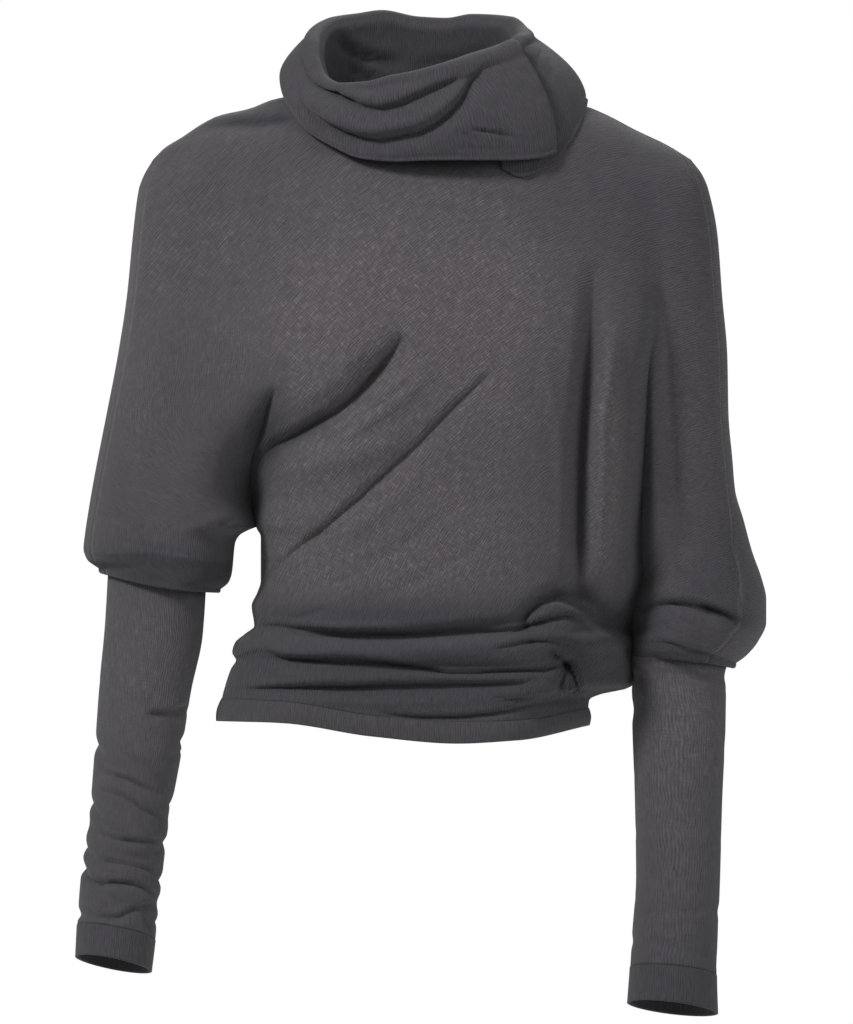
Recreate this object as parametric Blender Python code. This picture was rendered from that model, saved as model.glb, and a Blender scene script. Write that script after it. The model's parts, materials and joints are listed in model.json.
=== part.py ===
"""Long-sleeve top in fine ribbed jersey, with batwing upper sleeves, fitted lower sleeves, a
wrapped collar and a hem band, as it sits on an unseen figure. The cloth is one surface,
cut at its seams into eight pieces and given its thickness.

Lengths in the tables are millimetres. X is the viewer's right, Y points away from the
viewer, Z is up, and 0 is the middle of the neck base at shoulder height. "drop" is the
distance below that height. The tables give places as seen in a front view from
EYE_DISTANCE, and in_space() takes the perspective out of them.
"""

import math

import bmesh
import bpy
import numpy as np

# Sizes
MM = 0.001
CLOTH = 1.6
DOUBLE_CLOTH = 2.4
SEAM_GAP = 0.3
NECK_SEAM_GAP = 0.25
PARTING_CLEAR = 1.0
EYE_DISTANCE = 3000.0
EYE_X = -4.0
EYE_Z = -303.0

# Number of strips across and down each part of the surface
ARM_STRIPS_RIGHT = 8
ARM_STRIPS_LEFT = 9
FRONT_STRIPS = 24
BACK_STRIPS = 14
BACK_OF_SEAM = 2
PUFF_ROWS = 6
TURN_ROWS = 3
ANGLE_ROWS = 6
CUFF_ROWS = 3
HEM_ROWS = 3
WAIST_ROWS = 11

# Heights of the rows of the body, down to the armhole and then to the waist
UPPER_DROPS = [0, 2, 7, 15, 27, 43, 62, 84, 108, 134, 160, 184, 206, 226, 246, 264, 280, 292, 302]
MIDDLE_DROPS = [314, 328, 342, 356, 369]
WAIST_DROP = 380.0
SHOULDER_FADE = 150.0

# Over-arm outline of the wearer's right arm and left arm: drop, x
RIGHT_ARM_OUTLINE = [
    (32, -214), (44, -221), (55, -225), (90, -229.5), (136, -234), (182, -241), (229, -250),
    (275, -259), (298, -263), (321, -266.5), (331, -267.5), (339, -265), (346, -256),
]
LEFT_ARM_OUTLINE = [
    (32, 199), (44, 208), (55, 212.5), (90, 219.5), (136, 223), (182, 227), (229, 228),
    (263, 231), (286, 233), (309, 239.5), (333, 246), (356, 254), (370, 257), (388, 257),
    (402, 251), (413, 242), (419, 234),
]

# Top of the body from one shoulder corner to the other, front and back neckline: x, z
RIGHT_SHOULDER = [(-214, -32), (-205, -23), (-192, -15), (-177, -5), (-164, 1.5), (-140, 7),
                  (-122, 14), (-100, 18), (-82, 20)]
LEFT_SHOULDER = [(76, 18), (95, 14), (118, 9), (135, 2), (156, -9), (181, -21), (199, -32)]
NECK_LEFT_X = 76.0
NECK_RIGHT_X = -82.0
NECK_FRONT_Z = -25.0
NECK_BACK_Z = 18.0
NECK_FRONT_Y = 55.0
NECK_BACK_Y = 50.0

# Fold between body and arm. depth left: 1 is no fold, 0 is where body and sleeve part.
# power: 3 is a soft hollow, 1 is a side seam. drop, x, depth left, power
RIGHT_FOLD = [
    (-20, -82, 1, 3), (32, -88, 1, 3), (100, -98, 1, 3), (160, -105, 1, 3), (204, -112, 0.98, 3),
    (225, -125, 0.84, 2.6), (246, -134, 0.64, 2.2), (274, -140, 0.36, 1.9), (292, -139, 0.14, 1.7),
    (302, -137, 0, 1), (309, -132, 0, 1), (322, -130, 0, 1), (356, -131, 0, 1), (366, -134, 0, 1),
    (375, -138, 0, 1), (391, -136, 0, 1), (397, -143, 0, 1), (404, -151, 0, 1), (411, -153, 0, 1),
    (417, -150, 0, 1), (424, -154, 0, 1), (439, -159, 0, 1), (447, -161, 0, 1), (470, -166, 0, 1),
]
LEFT_FOLD = [
    (-18, 76, 1, 3), (0, 84, 1, 3), (40, 106, 1, 3), (90, 130, 1, 3), (140, 152, 1, 3),
    (175, 165, 0.97, 3), (225, 164, 0.85, 2.6), (275, 162.5, 0.72, 2.2), (316, 161, 0.58, 1.9),
    (350, 163, 0.42, 1.9), (366, 159, 0.33, 1.8), (382, 155, 0.2, 1.7), (391, 154, 0.1, 1.6),
    (400, 153, 0, 1), (406, 148.5, 0, 1), (412, 149.5, 0, 1), (420, 151.5, 0, 1), (434, 151.5, 0, 1),
    (438, 147, 0, 1), (443, 129, 0, 1), (447, 121, 0, 1), (454, 120, 0, 1), (470, 121, 0, 1),
]
PARTING_DROP_RIGHT = 302.0
PARTING_DROP_LEFT = 400.2
PARTING_NORMAL_Y = 0.8
PARTING_NORMAL_Z = -0.6

# Inner edge of the right upper sleeve below the parting: drop, x
RIGHT_SLEEVE_INNER = [(302, -137), (308, -146), (314, -151.5), (330, -153), (348, -154.5), (362, -155)]
RIGHT_SLEEVE_END = (346.0, 362.0)
LEFT_SLEEVE_END_OUTER = 419.0
PUFF_SAG = 4.0
TURN_SAG = 6.0

# Over-arm seam in from the outline of the arm. On the left arm it moves further in below the
# given drop, over the given length.
ARM_SEAM_IN = 5.5
ARM_SEAM_EXTRA = 15.0
ARM_SEAM_EXTRA_DROP = 290.0
ARM_SEAM_EXTRA_LENGTH = 80.0

# How far the surface stands in front of the middle plane: drop, then at the right arm, the
# right fold, right chest, middle, left chest, left fold and left arm
FRONT_DEPTH = [
    (-36, 30, 40, 48, 52, 48, 40, 30), (0, 42, 55, 62, 64, 62, 55, 42),
    (40, 48, 66, 77, 80, 77, 66, 48), (80, 52, 76, 90, 94, 90, 74, 52),
    (130, 56, 84, 105, 107, 105, 82, 55), (190, 58, 90, 115, 116, 115, 92, 57),
    (240, 58, 86, 114, 116, 117, 98, 58), (302, 57, 80, 106, 112, 115, 98, 58),
    (350, 55, 80, 100, 108, 112, 94, 62), (392, 52, 82, 100, 106, 109, 90, 64),
    (430, 52, 84, 104, 108, 108, 86, 60), (470, 52, 84, 104, 108, 106, 84, 60),
]
# The same behind the middle plane
BACK_DEPTH = [
    (-36, 30, 38, 45, 48, 45, 38, 30), (0, 42, 52, 60, 62, 60, 52, 42),
    (40, 48, 62, 76, 78, 76, 62, 48), (80, 52, 71, 88, 89, 88, 70, 52),
    (130, 55, 78, 95, 94, 95, 78, 55), (190, 57, 78, 93, 92, 94, 82, 57),
    (240, 57, 74, 87, 86, 89, 82, 58), (302, 56, 70, 80, 79, 83, 80, 58),
    (350, 55, 66, 76, 75, 80, 78, 62), (392, 52, 70, 80, 79, 83, 76, 64),
    (430, 52, 76, 90, 91, 90, 78, 60), (470, 52, 80, 97, 99, 96, 80, 60),
]
ARM_CREST_IN = 49.0
CHEST_X = (-62.0, -4.0, 55.0)
ARM_ROUND = 50.0
SHOULDER_ROUND = 42.0
BODY_ROUND = 80.0
HIP_ROUND = 52.0
HIP_BACK = 14.0

# Folds and rolls of the body. A fold runs through three points as seen; "above" and "below"
# are its widths to each side, depth is how far it is pressed in, and less than 0 is a ridge.
# piece, x1, z1, x2, z2, x3, z3, above, below, depth
FOLDS = [
    ("front", -131, -256, -70, -219, -20, -163, 20, 30, 15),
    ("front", -86, -251, -40, -224, 0, -188, 14, 14, -4),
    ("front", -134, -363, -60, -297, 24, -216, 12, 20, 8),
    ("front", -112, -262, -70, -262, -20, -238, 18, 18, -5),
    ("front", 124, -130, 115, -250, 110, -366, 16, 13, 24),
    ("front", 140, -170, 138, -280, 136, -374, 17, 17, -12),
    ("front", 166, -180, 160, -300, 154, -380, 12, 12, 9),
    ("front", 150, -374, 188, -374, 238, -384, 10, 12, 7),
    ("front", 196, -330, 205, -350, 225, -366, 12, 12, -4),
    ("front", -138, -392, -40, -398, 103, -382, 9, 18, 13),
    ("front", -148, -417, -40, -418, 104, -418, 7, 16, 9),
    ("front", -158, -439, -30, -438, 86, -435, 6, 12, 7),
    ("front", -42, -457, 20, -461, 76, -452, 5, 7, 4),
    ("front", -150, -405, -40, -408, 80, -402, 10, 10, -6),
    ("front", 66, -391, 108, -367, 150, -406, 13, 9, 13),
    ("front", 76, -398, 116, -396, 140, -424, 26, 26, -17),
    ("front", 104, -414, 101, -430, 95, -443, 9, 7, 9),
    ("front", 88, -446, 112, -447, 136, -444, 5, 7, 8),
    ("front", -104, 1, -130, -7, -178, -9, 8, 14, 6),
    ("front", -155, -20, -160, -70, -154, -140, 16, 16, 2.5),
    ("back", 126, -60, 110, -200, 60, -330, 18, 22, 9),
    ("back", -110, -70, -104, -200, -70, -320, 18, 22, 8),
    ("back", -30, -40, 0, -180, 10, -330, 26, 26, 4),
    ("back", 150, -374, 188, -376, 238, -386, 10, 12, 7),
    ("back", -138, -390, 0, -396, 120, -388, 9, 18, 12),
    ("back", -150, -416, 0, -420, 120, -414, 7, 16, 9),
    ("back", -158, -438, 0, -440, 112, -436, 6, 12, 7),
    ("back", -150, -404, 0, -408, 110, -402, 10, 10, -6),
    ("back", 118, -400, 134, -420, 140, -436, 16, 16, -12),
]
FOLD_SAMPLES = 15
FOLD_FADE = 0.22

# Hem seam and hem: x, z
HEM_SEAM = [(-161, -447), (-112, -449.5), (-46, -460), (20, -465), (65, -464), (119, -454)]
HEM_HEIGHT = [(-166, 17), (-112, 15.5), (-46, 15), (20, 15.5), (65, 14), (121, 13)]
HEM_MIDDLE_X = -20.0
HEM_SWELL = 1.5
HEM_FLARE = 0.5

# Lower sleeves: drop, left x, right x, y of the middle, half depth, tilt across, tilt in depth
RIGHT_LOWER = [
    (351, -248.5, -174, -8, 36, 0.12, 0), (394, -251, -177, -14, 35.5, 0.12, 0.02),
    (437, -255, -186, -22, 34, 0.13, 0.05), (488, -258.7, -194, -34, 33, 0.14, 0.08),
    (537, -262.6, -203, -45, 31, 0.16, 0.11), (589, -269.5, -209.4, -57, 30, 0.19, 0.13),
    (622, -272, -213, -64, 29.5, 0.2, 0.15), (651, -273.5, -216.5, -70, 29.5, 0.2, 0.15),
]
LEFT_LOWER = [
    (417, 154.5, 226.5, -12, 36, 0.12, 0), (466, 155, 225.6, -24, 35, 0.1, 0.03),
    (525, 157, 223, -38, 34, 0.08, 0.08), (585, 158, 221.4, -52, 33, 0.06, 0.12),
    (630, 155, 219.5, -61, 32, 0.08, 0.14), (657, 153.5, 218.7, -66, 32, 0.1, 0.15),
    (685, 151.5, 219.5, -72, 32, 0.12, 0.15),
]
RIGHT_CUFF_DROP = 627.0
LEFT_CUFF_DROP = 657.0
RIGHT_LOWER_ROWS = 24
LEFT_LOWER_ROWS = 18

# Gathers of the lower sleeves: drop, tilt, middle angle, span of angle, depth, half width.
# Angle 0 is the outer side, 90 the front, 180 the inner side.
RIGHT_GATHERS = [
    (468, 0.35, 150, 110, 2.6, 9), (493, 0.5, 20, 120, 3.2, 10), (517, 0.45, 160, 120, 2.8, 9),
    (541, 0.5, 30, 110, 3.0, 8), (556, -0.4, 170, 110, 2.6, 8), (569, 0.5, 10, 120, 3.2, 8),
    (583, 0.3, 190, 120, 3.0, 8), (593, 0.45, 40, 110, 3.0, 7), (606, 0.35, 150, 110, 2.6, 7),
    (618, 0.3, 0, 130, 2.6, 7), (540, 0.2, 270, 120, 2.6, 10), (590, -0.2, 260, 140, 2.6, 9),
]
LEFT_GATHERS = [
    (430, 0.1, 90, 150, 2.2, 9), (612, 0.1, 60, 120, 1.2, 8), (640, -0.1, 120, 130, 1.2, 8),
    (470, 0.3, 250, 120, 2.0, 12),
]

# Collar by angle from the front towards the viewer's right, through the back and round to
# the front again: angle, rim z, rim r across, rim r deep, low edge z, low r across, low r deep
COLLAR = [
    (30, 34, 79, 71, -39, 106, 90), (38, 39, 80, 71, -45, 109, 96), (50, 48, 81, 71, -30, 113, 106),
    (60, 57, 82, 72, -16, 115, 118), (70, 64, 82, 73, -2, 117, 122), (80, 66, 82, 73, 8, 118, 115),
    (90, 68, 82, 74, 14, 118, 102),
    (120, 71, 82, 76, 12, 116, 96), (150, 76, 82, 78, 2, 114, 96), (180, 81, 82, 78, -2, 112, 97),
    (215, 82, 82, 78, 4, 112, 96), (245, 73, 82, 77, 15, 114, 94), (270, 62, 82, 75, 22, 116, 96),
    (285, 48, 84, 74, 10, 117, 112), (300, 33, 85, 74, -7, 117, 114), (315, 27, 84, 74, -20, 115, 108),
    (330, 28, 82, 73, -31, 110, 98), (345, 33, 80, 72, -33, 108, 94), (360, 36, 79, 72, -32, 108, 93),
    (375, 40, 79, 71.5, -32, 109, 95), (390, 46, 79, 71, -32, 112, 100), (405, 52, 80, 71, -30, 117, 111),
    (413, 57, 81, 71, -26, 121, 118),
]
COLLAR_RIM_X = -10.0
COLLAR_LOW_X = 2.0
COLLAR_Y = 1.0
COLLAR_STAND_ROWS = 4
COLLAR_ROLL_ROWS = 3
COLLAR_FALL_ROWS = 7
COLLAR_START = 16
COLLAR_LAP = 4
LAP_LIFT = 5.0
LAP_LIFT_ANGLE = 345.0
LAP_LIFT_SPAN = 40.0
LAP_FOOT_IN = 0.07
LAP_FOOT_UP = 4.0
LAP_FOLD_SHARE = 0.25
NECK_MIDDLE_Y = 52.0
COLLAR_CLEAR = 3.5
SHOULDER_LIFT = 10
COLLAR_BULGE = 9.0

# Creases of the collar's outer layer as seen, in the same terms as FOLDS
COLLAR_FOLDS = [
    (-95, 54, -80, 14, -22, 8, 8, 12, 9), (-22, 8, 2, 9, 24, 19, 8, 11, 8),
    (-92, 3, -60, -18, -12, -11, 8, 13, 9), (-12, -11, 22, 4, 51, 47, 9, 12, 8),
    (29, -9, 48, -10, 66, -14, 6, 7, 3),
]
COLLAR_BACK_FOLDS = [
    (-100, 30, 0, 44, 90, 34, 12, 14, 8), (-96, 4, 0, 20, 100, 12, 10, 13, 6),
]


def blend(x, stations, values):
    """Smooth curve through rising stations that never swings past them. The first axis runs
    over the stations."""
    x = np.asarray(x, float)
    stations = np.asarray(stations, float)
    values = np.asarray(values, float)
    if stations.ndim == 1:
        shape = (-1,) + (1,) * x.ndim
        stations = stations.reshape(shape) + 0 * x
        values = values.reshape(shape) + 0 * x
    step = np.diff(stations, axis=0)
    slope = np.diff(values, axis=0) / step
    before, after = slope[:-1], slope[1:]
    total = np.where(np.abs(before + after) < 1e-9, 1.0, before + after)
    inner = np.where(before * after > 0, 2 * before * after / total, 0.0)
    tangent = np.concatenate([slope[:1], inner, slope[-1:]])
    x = np.clip(x, stations[0], stations[-1])
    k = np.clip((stations <= x).sum(axis=0) - 1, 0, len(step) - 1)[None]

    def pick(array, index):
        return np.take_along_axis(array, index, axis=0)[0]

    span = pick(step, k)
    w = (x - pick(stations, k)) / span
    return ((1 + 2 * w) * (1 - w) ** 2 * pick(values, k)
            + w * (1 - w) ** 2 * span * pick(tangent, k)
            + w ** 2 * (3 - 2 * w) * pick(values, k + 1)
            + w ** 2 * (w - 1) * span * pick(tangent, k + 1))


def column(table, index, x):
    """One column of a table, read as a smooth curve at x."""
    return blend(x, [row[0] for row in table], [row[index] for row in table])


def quarter(distance, reach):
    """Quarter circle: 0 at an edge and 1 from its reach inwards."""
    w = np.clip(distance / reach, 0, 1)
    return np.sqrt(w * (2 - w))


def fold_depth(x, z, folds):
    """How far all the folds together press the surface in at x, z."""
    total = np.zeros(np.broadcast(x, z).shape)
    for x1, z1, x2, z2, x3, z3, above, below, depth in folds:
        t = np.linspace(0, 1, FOLD_SAMPLES)
        # The middle point lies on the curve, so its pull is taken from it
        cx, cz = 2 * x2 - (x1 + x3) / 2, 2 * z2 - (z1 + z3) / 2
        px = (1 - t) ** 2 * x1 + 2 * t * (1 - t) * cx + t * t * x3
        pz = (1 - t) ** 2 * z1 + 2 * t * (1 - t) * cz + t * t * z3
        nearest = np.full(total.shape, 1e9)
        signed = np.zeros(total.shape)
        along = np.zeros(total.shape)
        for k in range(FOLD_SAMPLES - 1):
            dx, dz = px[k + 1] - px[k], pz[k + 1] - pz[k]
            length = math.hypot(dx, dz)
            u = np.clip(((x - px[k]) * dx + (z - pz[k]) * dz) / length ** 2, 0, 1)
            ox, oz = x - px[k] - u * dx, z - pz[k] - u * dz
            distance = np.hypot(ox, oz)
            closer = distance < nearest
            side = np.sign(dx * oz - dz * ox)
            nearest = np.where(closer, distance, nearest)
            signed = np.where(closer, side * distance, signed)
            along = np.where(closer, (k + u) / (FOLD_SAMPLES - 1), along)
        width = np.where(signed > 0, above, below)
        w = np.clip(nearest / width, 0, 1)
        if depth > 0:
            shape = 0.55 * (1 - w) ** 2 + 0.45 * (0.5 + 0.5 * np.cos(np.pi * w))
        else:
            shape = 0.5 + 0.5 * np.cos(np.pi * w)
        ends = np.clip(np.minimum(along, 1 - along) / FOLD_FADE, 0, 1)
        total += depth * shape * ends * (2 - ends)
    return total


def top_line(x, back):
    """Height of the shoulder seams and of the neckline between them."""
    right = blend(np.minimum(x, NECK_RIGHT_X), *zip(*RIGHT_SHOULDER))
    left = blend(np.maximum(x, NECK_LEFT_X), *zip(*LEFT_SHOULDER))
    middle = (NECK_LEFT_X + NECK_RIGHT_X) / 2
    half = (NECK_LEFT_X - NECK_RIGHT_X) / 2
    across = np.clip((x - middle) / half, -1, 1)
    side = (RIGHT_SHOULDER[-1][1] * (1 - across) + LEFT_SHOULDER[0][1] * (1 + across)) / 2
    low = NECK_BACK_Z if back else NECK_FRONT_Z
    neck = side + (low - side) * (1 - across ** 2)
    return np.where(x <= NECK_RIGHT_X, right, np.where(x >= NECK_LEFT_X, left, neck))


def neck_depth(x, back):
    middle = (NECK_LEFT_X + NECK_RIGHT_X) / 2
    half = (NECK_LEFT_X - NECK_RIGHT_X) / 2
    across = np.clip((x - middle) / half, -1, 1)
    return (NECK_BACK_Y if back else NECK_FRONT_Y) * np.sqrt(np.clip(1 - across ** 2, 0, 1))


def panel_depth(x, z, part, back):
    """How far the front or back stands from the middle plane at x, z of one part: the right
    arm, the body or the left arm."""
    drop = -z
    table = BACK_DEPTH if back else FRONT_DEPTH
    outer_right = column(RIGHT_ARM_OUTLINE, 1, drop)
    outer_left = column(LEFT_ARM_OUTLINE, 1, drop)
    fold_right = column(RIGHT_FOLD, 1, drop)
    fold_left = column(LEFT_FOLD, 1, drop)
    stations = np.stack([outer_right + ARM_CREST_IN, np.minimum(fold_right, CHEST_X[0] - 12),
                         CHEST_X[0] + 0 * x, CHEST_X[1] + 0 * x, CHEST_X[2] + 0 * x,
                         np.maximum(fold_left, CHEST_X[2] + 12), outer_left - ARM_CREST_IN + 4])
    values = np.stack([column(table, k, drop) for k in range(1, 8)])
    plateau = blend(x, stations, values)
    plateau = plateau - fold_depth(x, z, [row[1:] for row in FOLDS if (row[0] == "back") == back])
    share = np.ones(np.shape(x))
    if part != "left arm":
        inner = fold_right
        if part == "right arm":
            below = column(RIGHT_SLEEVE_INNER, 1, drop)
            inner = np.where(drop > PARTING_DROP_RIGHT, below, fold_right)
        left_over = column(RIGHT_FOLD, 2, drop)
        reach = ARM_ROUND if part == "right arm" else BODY_ROUND
        edge = quarter(np.abs(x - inner), reach) ** column(RIGHT_FOLD, 3, drop)
        share = share * (left_over + (1 - left_over) * edge)
    if part != "right arm":
        left_over = column(LEFT_FOLD, 2, drop)
        hip = blend(drop, [396, 408, 438, 450], [0, 1, 1, 0])
        reach = ARM_ROUND if part == "left arm" else BODY_ROUND + (HIP_ROUND - BODY_ROUND) * hip
        edge = quarter(np.abs(x - fold_left), reach) ** column(LEFT_FOLD, 3, drop)
        share = share * (left_over + (1 - left_over) * edge)
    side = np.ones(np.shape(x))
    if part == "right arm":
        side = quarter(x - outer_right, ARM_ROUND)
    if part == "left arm":
        side = quarter(outer_left - x, ARM_ROUND)
    top = quarter(top_line(x, back) - z, SHOULDER_ROUND)
    both = (np.maximum(side, 1e-4) ** -4 + np.maximum(top, 1e-4) ** -4 - 1) ** -0.25
    both = np.where(np.minimum(side, top) < 2e-4, 0.0, both)
    return neck_depth(x, back) * (1 - top) + plateau * share * both


def hip_set_back(x, z):
    """How far the twisted roll at the wearer's left hip lies behind the middle plane."""
    aside = np.clip((x - 95) / 50, 0, 1)
    return HIP_BACK * aside ** 2 * (3 - 2 * aside) * blend(-z, [401, 414, 436, 447], [0, 1, 1, 0])


def in_space(x, y, z):
    """Point of the cloth from its place as seen and its depth."""
    nearer = 1 + y / EYE_DISTANCE
    return np.stack([EYE_X + (x - EYE_X) * nearer, y + 0 * x, EYE_Z + (z - EYE_Z) * nearer], -1)


def row_heights():
    """Drop of each row of the body and share of the way from the waist to the hem seam."""
    rows = [(drop, 0.0) for drop in UPPER_DROPS + MIDDLE_DROPS]
    rows += [(WAIST_DROP, k / WAIST_ROWS) for k in range(WAIST_ROWS + 1)]
    return rows


def hem_seam_z(x):
    return blend(x, *zip(*HEM_SEAM))


def arm_share(count, wanted_seam):
    """Shares across an arm, close together at its edges, so that the seam's strip ends at the
    wanted share."""
    share = (1 - np.cos(np.pi * np.arange(count + 1) / count)) / 2
    if wanted_seam is None:
        return share
    return share ** (math.log(wanted_seam) / math.log(share[BACK_OF_SEAM]))


def body_rows(strips, back):
    """x and z of the middle part, row by row, from neckline to hem seam."""
    even = np.arange(strips + 1) / strips
    round_share = (1 - np.cos(np.pi * even)) / 2
    rows = []
    for drop, down in row_heights():
        fade = max(0.0, 1 - drop / SHOULDER_FADE) ** 2 if down == 0 else 0.0
        mix = 0.5 + 0.5 * fade
        share = round_share * mix + even * (1 - mix)
        z = -drop + np.zeros(strips + 1)
        for _ in range(6):
            low, high = column(RIGHT_FOLD, 1, -z[0]), column(LEFT_FOLD, 1, -z[-1])
            x = low + (high - low) * share
            z = -drop + top_line(x, back) * fade
            if down > 0:
                z = -drop + down * (hem_seam_z(x) + drop)
        rows.append((x, z))
    return rows


def seam_inset(drop, right):
    """How far in from the outline of the arm the over-arm seam runs."""
    if right:
        return ARM_SEAM_IN
    further = np.clip((drop - ARM_SEAM_EXTRA_DROP) / ARM_SEAM_EXTRA_LENGTH, 0, 1)
    return ARM_SEAM_IN + ARM_SEAM_EXTRA * further


def arm_rows(body, arm, back):
    """x and z of one upper sleeve, row by row from the shoulder seam, outer edge first."""
    right = arm == "right arm"
    outline = RIGHT_ARM_OUTLINE if right else LEFT_ARM_OUTLINE
    strips = ARM_STRIPS_RIGHT if right else ARM_STRIPS_LEFT
    parting = PARTING_DROP_RIGHT if right else PARTING_DROP_LEFT
    inner = [(x[0], z[0]) if right else (x[-1], z[-1]) for x, z in body]
    inner = [point for point in inner if -point[1] <= parting + 0.5]
    corner = -outline[0][0]
    rows = []
    last = -inner[-1][1]
    end_outer = RIGHT_SLEEVE_END[0] if right else LEFT_SLEEVE_END_OUTER
    shared_end = PARTING_DROP_RIGHT if right else end_outer
    heights = [drop if down == 0 else None for drop, down in row_heights()]
    for number, (inner_x, inner_z) in enumerate(inner):
        drop = heights[number] if heights[number] is not None else -inner_z
        fade = max(0.0, 1 - drop / SHOULDER_FADE) ** 2
        outer_drop = drop if drop < 226 else 226 + (drop - 226) * (shared_end - 226) / (last - 226)
        outer_z = -outer_drop + corner * fade
        outer_x = float(column(outline, 1, -outer_z))
        inset = seam_inset(outer_drop, right)
        share = arm_share(strips, None if back else inset / abs(inner_x - outer_x))
        x = outer_x + (inner_x - outer_x) * share
        on_top = np.clip(x, RIGHT_SHOULDER[0][0], LEFT_SHOULDER[-1][0])
        line = -drop + top_line(on_top, back) * fade
        straight = outer_z + (inner_z - outer_z) * share
        z = np.where(fade > 0, line, straight)
        z[0], z[-1] = outer_z, inner_z
        rows.append((x, z))
    if right:
        for k in range(1, PUFF_ROWS + 1):
            t = k / PUFF_ROWS
            outer_z = -(PARTING_DROP_RIGHT + (RIGHT_SLEEVE_END[0] - PARTING_DROP_RIGHT) * t)
            inner_z = -(PARTING_DROP_RIGHT + (RIGHT_SLEEVE_END[1] - PARTING_DROP_RIGHT) * t)
            outer_x = float(column(outline, 1, -outer_z))
            inner_x = float(column(RIGHT_SLEEVE_INNER, 1, -inner_z))
            share = arm_share(strips, None if back else ARM_SEAM_IN / abs(inner_x - outer_x))
            x = outer_x + (inner_x - outer_x) * share
            sag = PUFF_SAG * np.sin(np.pi * share) * t
            rows.append((x, outer_z + (inner_z - outer_z) * share - sag))
    return rows


class Surface:
    """The whole cloth as points and four-sided faces, each face marked with its piece."""

    def __init__(self):
        self.points = []
        self.faces = []
        self.pieces = []
        self.partings = []

    def add(self, points):
        start = len(self.points)
        self.points.extend(np.asarray(points, float).reshape(-1, 3))
        return np.arange(start, start + len(points))

    def weave(self, rows, piece, outward):
        """Faces between rows of point numbers. outward turns them to face out."""
        for k in range(len(rows) - 1):
            for j in range(len(rows[k]) - 1):
                face = [rows[k][j], rows[k][j + 1], rows[k + 1][j + 1], rows[k + 1][j]]
                name = piece(k, j) if callable(piece) else piece
                self.faces.append(face if outward else face[::-1])
                self.pieces.append(name)


def panel_points(rows, part, back):
    """Points of the rows of one part, in space."""
    sign = 1 if back else -1
    placed = []
    for x, z in rows:
        y = sign * panel_depth(x, z, part, back)
        if part == "body":
            y = y + hip_set_back(x, z)
        placed.append(in_space(x, y, z))
    return placed


def number_rows(surface, rows, first, last):
    """Point numbers of rows, with given numbers for the first or last point of each row."""
    numbered = []
    for k, points in enumerate(rows):
        head = first[k] if first is not None and k < len(first) and first[k] is not None else None
        tail = last[k] if last is not None and k < len(last) and last[k] is not None else None
        start = 0 if head is None else 1
        stop = len(points) if tail is None else len(points) - 1
        middle = list(surface.add(points[start:stop]))
        row = ([] if head is None else [head]) + middle + ([] if tail is None else [tail])
        numbered.append(row)
    return numbered


def add_body(surface):
    """Front and back panels. Returns the numbers of the neckline, hem seam and sleeve ends."""
    front_rows = body_rows(FRONT_STRIPS, False)
    back_rows = body_rows(BACK_STRIPS, True)
    front = number_rows(surface, panel_points(front_rows, "body", False), None, None)
    drops = [-z[0] for x, z in front_rows]
    first, last = [], []
    for k, drop in enumerate(drops):
        first.append(front[k][0] if k == 0 or drop >= PARTING_DROP_RIGHT - 0.5 else None)
        end_drop = -front_rows[k][1][-1]
        last.append(front[k][-1] if k == 0 or end_drop >= PARTING_DROP_LEFT - 0.5 else None)
    back = number_rows(surface, panel_points(back_rows, "body", True), first, last)
    surface.weave(front, "front_panel", False)
    surface.weave(back, "back_panel", True)
    ends = {}
    for arm in ("right arm", "left arm"):
        ends[arm] = add_arm(surface, arm, front, back, front_rows, back_rows)
    return front, back, ends


def add_arm(surface, arm, front, back, front_rows, back_rows):
    """One upper sleeve of both panels, down to its puffed end."""
    right = arm == "right arm"
    column_end = 0 if right else -1
    rows_front = arm_rows(front_rows, arm, False)
    rows_back = arm_rows(back_rows, arm, True)
    shared = [row[column_end] for row in front]
    shared_back = [row[column_end] for row in back]
    parting = sum(1 for x, z in front_rows
                  if -z[column_end] <= (PARTING_DROP_RIGHT if right else PARTING_DROP_LEFT) + 0.5)
    points = panel_points(rows_front, arm, False)
    numbers = number_rows(surface, points, None, shared[:parting])
    outer = [row[0] for row in numbers]
    inner = shared_back[:parting] + [row[-1] for row in numbers[parting:]]
    back_points = panel_points(rows_back, arm, True)
    back_numbers = []
    for k, row_points in enumerate(back_points):
        if k == 0:
            back_numbers.append(numbers[0])
            continue
        middle = list(surface.add(row_points[1:-1]))
        back_numbers.append([outer[k]] + middle + [inner[k]])

    def front_piece(k, j):
        return "back_panel" if j < BACK_OF_SEAM else "front_panel"

    surface.weave(numbers, front_piece, not right)
    surface.weave(back_numbers, "back_panel", right)
    # Ring of the sleeve end: outer edge, front, inner edge, back
    ring = numbers[-1] + back_numbers[-1][-2:0:-1]
    surface.partings.append(shared[parting - 1])
    return ring


def ring_angles(strips):
    """Angles round a sleeve from its outer edge over the front and back again."""
    front = [180 * k / strips for k in range(strips + 1)]
    return np.radians(front + [180 + 180 * k / strips for k in range(1, strips)])


def puff_angles(ring, table, arm):
    """Angles of the puff's end as seen from the middle of the lower sleeve's first ring."""
    low, high, y, deep = (float(column(table, k, table[0][0])) for k in range(1, 5))
    across = (ring[:, 0] - (low + high) / 2) / (high - low) * 2
    outwards = -across if arm == "right arm" else across
    angle = np.arctan2(-(ring[:, 1] - y) / deep, outwards)
    return np.unwrap(angle)


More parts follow.
